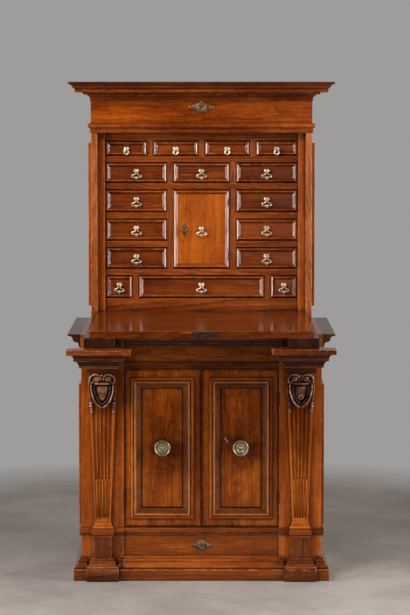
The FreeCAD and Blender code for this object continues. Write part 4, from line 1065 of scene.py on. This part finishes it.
def lock_plate(name, width, height, piece_name):
    """A plate with a raised boss round its keyhole, and a pin at each end."""
    low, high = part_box(name)
    centre = (low + high) / 2
    scale_x, scale_z = width / drawn_width, height / drawn_height
    points = [(x * scale_x, z * scale_z) for x, z in mirrored_outline(wide_plate_half)]
    bm = bmesh.new()
    face = plate_face(bm, points, centre, high.y)
    raise_field(bm, push(bm, [face], low.y - high.y), plate_border, plate_rise)
    boss = min(width, height) * boss_share
    boss_profile = [(boss + 2.0, 0), (boss + 1.6, 1.6), (boss, 2.6), (boss - 1.6, 1.9), (boss - 2.6, 1.2),
                    (0, 0.9)]
    turned(bm, boss_profile, Vector((centre.x, low.y, centre.z)), (0, -1, 0), (1, 0, 0), 32)
    for side in (-1, 1):
        pin = Vector((centre.x + side * width * pin_share * mm, low.y, centre.z))
        turned(bm, pin_head, pin, (0, -1, 0), (1, 0, 0), 12)
    tidy(bm)
    finish_piece(bm, piece_name, [plate_iron], body_of_node[name], "dark_iron", name)
    # The keyhole is a dark sheet, painted shade where the hole is.
    bm = bmesh.new()
    share = min(1.0, height / drawn_height + 0.1)
    points = [(x * share, z * share) for x, z in mirrored_outline(keyhole_half)]
    push(bm, [plate_face(bm, points, centre, low.y)], -keyhole_rise)
    tidy(bm)
    finish_piece(bm, piece_name + "_keyhole", [keyhole_shade], body_of_node[name], "dark_iron")


lock_plate("frieze_escutcheon", 91, 45, "frieze_lock_plate")
lock_plate("plinth_drawer_escutcheon", 72, 43, "plinth_lock_plate")
lock_plate("small_door_escutcheon", 24, 46, "small_door_lock_plate")

# %% Irons, hinges and the key
def forged(name, width, material, slot_name, piece_name):
    """Replaces a CAD node of ironwork by its softened copy."""
    bm, count = copy_solids(name)
    soften(bm, count, width)
    lay_grain(bm, solid_boxes(bm, count), longest, name)
    smooth(bm)
    piece = finish_piece(bm, piece_name, [material], body_of_node[name], slot_name, name)
    even_normals(piece)


forged("fixed_hinges", 0.3 * mm, iron, "dark_iron", "hinges_forged")
forged("fall_front_irons", 0.3 * mm, iron, "dark_iron", "fall_front_irons_forged")
forged("door_key", 0.4 * mm, key_iron, "pale_iron", "door_key_forged")

# %% [markdown]
# ## Shield consoles
# Under each side cornice hangs a carved shield: two round shoulders, a bar, a strap that runs down both
# sides and meets in a point, and a bead tassel beside it. A carver leaves these standing from one block. A
# strap is a small section that is carried along a bent path and joined step by step, then smoothed, so each
# path needs only a few points.

# %% A section carried along a path
def swept(bm, path, widths, depth_share=1.0, segments=10):
    """Joins rings along path points, each ring as wide as its place in widths. Ends are closed."""
    rings = []
    for i, point in enumerate(path):
        ahead = (path[min(i + 1, len(path) - 1)] - path[max(i - 1, 0)]).normalized()
        across = ahead.cross(Vector((0, -1, 0))).normalized()
        turn = Matrix((across, across.cross(ahead), ahead)).transposed().to_4x4()
        shape = Matrix.Diagonal((widths[i], widths[i] * depth_share, 1, 1))
        place = Matrix.Translation(point) @ turn @ shape
        made = bmesh.ops.create_circle(bm, segments=segments, radius=0.5 * mm, matrix=place, cap_ends=False)
        rings.append(edges_at(made["verts"]))
    for first, second in zip(rings, rings[1:]):
        bmesh.ops.bridge_loops(bm, edges=first + second)
    bmesh.ops.holes_fill(bm, edges=rings[0] + rings[-1], sides=segments)


def bead(bm, centre, radius, squash=1.0, segments=12):
    """A round carved bead."""
    place = Matrix.Translation(centre) @ Matrix.Diagonal((1, 1, squash, 1))
    bmesh.ops.create_uvsphere(bm, u_segments=segments, v_segments=segments // 2 + 2, radius=radius * mm,
                              matrix=place)


# %% Shield consoles
pedestal_x = 0.337
console_low_corner, console_high_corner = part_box("shield_consoles")
console_top = console_high_corner.z
shield_ground = console_low_corner.y + 45 * mm
shield_back_half = [(0, -1), (44, -1), (45, -14), (43, -40), (40, -62), (34, -84), (24, -102),
                    (12, -114), (0, -121)]
back_sunk, back_thickness = 6 * mm, 9 * mm
field_rise, field_border = 13 * mm, 3 * mm
field_half = [(0, -41), (18, -41), (20, -52), (18, -70), (12.5, -86), (6, -95), (0, -99)]
shoulder_profile = [(0, 20), (7, 19.4), (12, 17.4), (15.6, 13), (16.6, 6), (16.6, 0), (0, 0)]
eye_profile = [(0, 17), (3.2, 17), (4.2, 20), (6.2, 23), (8.8, 22), (10.2, 18), (10.2, 10), (0, 10)]
scroll_path = [(3.5, -30), (3.2, -22), (5, -14), (10, -7.5), (18, -4.8), (27, -5), (35, -8.5), (41, -15),
               (43.5, -23), (42, -31), (36, -35.5), (30, -33), (28, -27), (31, -22.5), (35.5, -24)]
scroll_widths = [5, 5.5, 6.5, 7.5, 8.5, 9, 9, 9, 8.5, 8, 7, 6, 5.5, 5, 4]
strap_path = [(37, -36), (38.5, -46), (37.5, -58), (35, -72), (30, -88), (21.5, -103), (10.5, -113.5),
              (0, -117.5)]
strap_widths = [7, 7.5, 7.5, 7.5, 8, 8.5, 9, 9]
inner_path = [(27, -42), (27.5, -56), (25.5, -70), (20.5, -85), (12.5, -97.5), (5, -104.5), (0, -107)]
outer_path = [(45.5, -26), (45.5, -46), (44, -68), (41, -86), (39, -98)]
outer_widths = [5, 5, 5.5, 7, 6]
brow_path = [(1, -72), (6, -67.5), (11, -69.5), (14, -75)]
brow_widths = [3, 3.6, 3.4, 2.4]
bar_path = [(-29, -36), (-14, -36), (0, -36), (14, -36), (29, -36)]
tassel_beads = [(38, -105, 7.4, 0.75), (38, -115, 6.4, 0.8), (37.5, -125, 5.4, 0.85), (37, -134, 4.2, 1.3)]


def console(side):
    """One carved shield, on the left (-1) or on the right (1)."""
    centre_x = side * pedestal_x

    def at(x, z, forward):
        return Vector((centre_x + x * mm, shield_ground - forward * mm, console_top + z * mm))

    bm = bmesh.new()
    ground = plate_face(bm, mirrored_outline(shield_back_half), at(0, 0, 0), shield_ground + back_sunk)
    push(bm, [ground], -back_thickness)
    bmesh.ops.recalc_face_normals(bm, faces=bm.faces)
    # The sunk ground is painted dark, as painted shade behind the carving.
    set_wear_and_light(bm, -1)
    shoulders, carving = bmesh.new(), bmesh.new()
    field = plate_face(shoulders, mirrored_outline(field_half), at(0, 0, 0), shield_ground)
    raise_field(shoulders, push(shoulders, [field], -field_rise), field_border, field_border)
    for hand in (-1, 1):
        turned(shoulders, shoulder_profile, at(hand * 19, -20, 0), (0, -1, 0), (1, 0, 0), 20)
        swept(carving, [at(hand * x, z, 14) for x, z in scroll_path], scroll_widths, 2.8)
        swept(carving, [at(hand * x, z, 16) for x, z in strap_path], strap_widths, 3.4)
        swept(carving, [at(hand * x, z, 11) for x, z in inner_path], [3.8] * 7, 4.6, 8)
        sinking = [at(hand * x, z, 12 - 7 * i / 4) for i, (x, z) in enumerate(outer_path)]
        swept(carving, sinking, outer_widths, 2.2, 8)
        swept(carving, [at(hand * x, z, 15) for x, z in brow_path], brow_widths, 2.2, 8)
        for x, z, radius, squash in tassel_beads:
            bead(carving, at(hand * x, z, 5), radius, squash)
    swept(carving, [at(x, z, 15) for x, z in bar_path], [8.5] * 5, 3.2)
    bead(carving, at(0, -9, 16), 4.6)
    turned(carving, eye_profile, at(0, -82, 0), (0, -1, 0), (1, 0, 0), 20)
    # The shoulders and the carving are painted paler, as a painted highlight on the raised forms.
    for part, wear_and_light_share in ((shoulders, 0.35), (carving, 0.8)):
        tidy(part)
        set_wear_and_light(part, wear_and_light_share)
        mesh = bpy.data.meshes.new("carved_part")
        part.to_mesh(mesh)
        part.free()
        bm.from_mesh(mesh)
        bpy.data.meshes.remove(mesh)
    bm.faces.layers.int.new("solid")
    lay_grain(bm, solid_boxes(bm, 1), longest, "console %d" % side)
    return bm


consoles = ((-1, "shield_console_left", []), (1, "shield_console_right", ["shield_consoles"]))
for side, name, replaced in consoles:
    piece = finish_piece(console(side), name, [woods["carving"]], "cabinet", "walnut", *replaced)
    print(name, "faces", len(piece.data.polygons))
    rounded_off(piece, 1)

# %% [markdown]
# ## Cabled flutes
# The pilasters are cut with five flutes, and the lower third of each flute is filled with a round rod, the
# cable. It keeps the edges from being knocked. Each cable is a slim cone with a domed end.

# %% Cables in the flutes
cable_bottom, cable_top = 0.212, 0.344
cable_sunk = 2.0 * mm
cable_low_radius, cable_high_radius = 2.5, 3.3
flute_shares = [2 * (i + 1) / 6 - 1 for i in range(5)]
shaft_low_z, shaft_high_z = 0.205, 0.713
shaft_low_half, shaft_high_half = 0.0265, 0.049


def shaft_half(z):
    """Half the width of a pilaster at a height. It widens upwards."""
    share = (z - shaft_low_z) / (shaft_high_z - shaft_low_z)
    return shaft_low_half + (shaft_high_half - shaft_low_half) * share


bm = bmesh.new()
for side in (-1, 1):
    for share in flute_shares:
        foot, head = [Vector((side * pedestal_x + share * shaft_half(z), shield_ground + cable_sunk, z))
                      for z in (cable_bottom, cable_top)]
        way, length = (head - foot).normalized(), (head - foot).length / mm
        low_r, high_r = cable_low_radius, cable_high_radius
        profile = [(0, 0), (low_r, 0), (high_r, length), (high_r * 0.85, length + high_r * 0.55),
                   (high_r * 0.5, length + high_r * 0.9), (0, length + high_r)]
        turned(bm, profile, foot, way, way.orthogonal().normalized(), 16)
tidy(bm)
# The cables are darkened a little all over, as painted shade inside the flutes.
set_wear_and_light(bm, -0.15)
bm.faces.layers.int.new("solid")
lay_grain(bm, [(Vector((0, 0, 0)), Vector((0, 0, 0.6)))], longest, "cables")
cables = finish_piece(bm, "pilaster_cables", [woods["post"]], "cabinet", "walnut")
print("cables:", len(flute_shares) * 2, "faces", len(cables.data.polygons))

# %% [markdown]
# ## Door mouldings and pilaster feet
# The panel of each door is framed by a moulding with a bead, a ridge and a long hollow. In the CAD it has
# a few flat slopes. Here the same moulding is laid over it with a finer section: a ring of four corners for
# each point of the profile, joined to the next ring, which mitres the corners by itself. The ridge is painted
# pale, as a painted highlight, and the hollow and the grooves are painted dark, as painted shade. The foot of
# a pilaster is a stack of such rings that flares towards the floor.

# %% Door mouldings and pilaster feet
moulding_profile = [(-3.5, -0.6), (-3.5, 4.2), (-1.5, 7.6), (1.8, 9.4), (5.2, 9.6), (6.6, 8.2),
                    (7.6, 8.0), (8.6, 12.6), (10.4, 14.0), (13.4, 14.2), (15.2, 12.8), (16.2, 11.8),
                    (19.5, 8.2), (23.5, 4.6), (28, 2.2), (31.5, 1.6), (32.2, 0), (33, -3.6), (36, -4.4),
                    (37, -6.6)]
door_front_y = 1.0 * mm
moulding_x = (30.6 * mm, 238.8 * mm)
# Profile steps by finish: the grooves in painted shade, the ridge in a painted highlight, the hollow in painted
# shade.
finish_steps = [(0, 5, 6, 16, 17, 18), (7, 8, 9, 10), (11, 12, 13, 14, 15)]
door_rails = (31.0 * mm, 33.0 * mm)
foot_rings = [(175, 36, 31), (180.5, 36, 31), (182, 34.6, 30), (185, 32, 28.4), (190, 29.8, 27),
              (197, 28.4, 26), (205, 27.4, 25.4)]
foot_back_y = -6.0 * mm


def ring_faces(bm, rings, closed):
    """Joins rings of vertices. A closed stack runs back into its first ring, and an open one is capped."""
    pairs = list(zip(rings, rings[1:])) + ([(rings[-1], rings[0])] if closed else [])
    for first, second in pairs:
        for i in range(len(first)):
            k = (i + 1) % len(first)
            bm.faces.new((first[i], first[k], second[k], second[i]))
    if not closed:
        bm.faces.new(rings[0])
        bm.faces.new(rings[-1])


def made_of_rings(bm, box, way_of, name, materials, body, width):
    """Softens and finishes a piece that was built from rings."""
    bmesh.ops.recalc_face_normals(bm, faces=bm.faces)
    bm.faces.layers.int.new("solid")
    soften(bm, 1, width)
    lay_grain(bm, [box], way_of, name)
    smooth(bm)
    even_normals(finish_piece(bm, name, materials, body, "walnut"))


for name, hand in (("left_door", -1), ("right_door", 1)):
    low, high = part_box(name)
    near, far = (hand * x for x in moulding_x)
    bm = bmesh.new()
    rings = []
    for inset, rise in moulding_profile:
        x0, x1 = min(near, far) + inset * mm, max(near, far) - inset * mm
        z0, z1 = low.z + door_rails[0] + inset * mm, high.z - door_rails[1] - inset * mm
        y = door_front_y - rise * mm
        corners = ((x0, y, z0), (x1, y, z0), (x1, y, z1), (x0, y, z1))
        rings.append([bm.verts.new(corner) for corner in corners])
    ring_faces(bm, rings, True)
    bm.verts.index_update()
    for face in bm.faces:
        step = min(vert.index // 4 for vert in face.verts)
        face.material_index = next((i for i, steps in enumerate(finish_steps, 1) if step in steps), 0)
    finishes = [woods[key] for key in ("door_frame", "underside", "door_ridge", "door_hollow")]
    made_of_rings(bm, (low, high), door_way, name + "_moulding", finishes, name, 0.3 * mm)

for side, name in ((-1, "left_pilaster_foot"), (1, "right_pilaster_foot")):
    bm = bmesh.new()
    middle = side * pedestal_x
    rings = []
    for z, half, forward in foot_rings:
        x0, x1, y = middle - half * mm, middle + half * mm, -forward * mm
        corners = ((x0, foot_back_y), (x0, y), (x1, y), (x1, foot_back_y))
        rings.append([bm.verts.new((*corner, z * mm)) for corner in corners])
    ring_faces(bm, rings, False)
    low_z, half, forward = foot_rings[0]
    high_z = foot_rings[-1][0]
    box = (Vector((middle - half * mm, -forward * mm, low_z * mm)),
           Vector((middle + half * mm, foot_back_y, high_z * mm)))
    made_of_rings(bm, box, longest, name, [woods["post"]], "cabinet", 0.5 * mm)
print("door mouldings: 2, pilaster feet: 2")
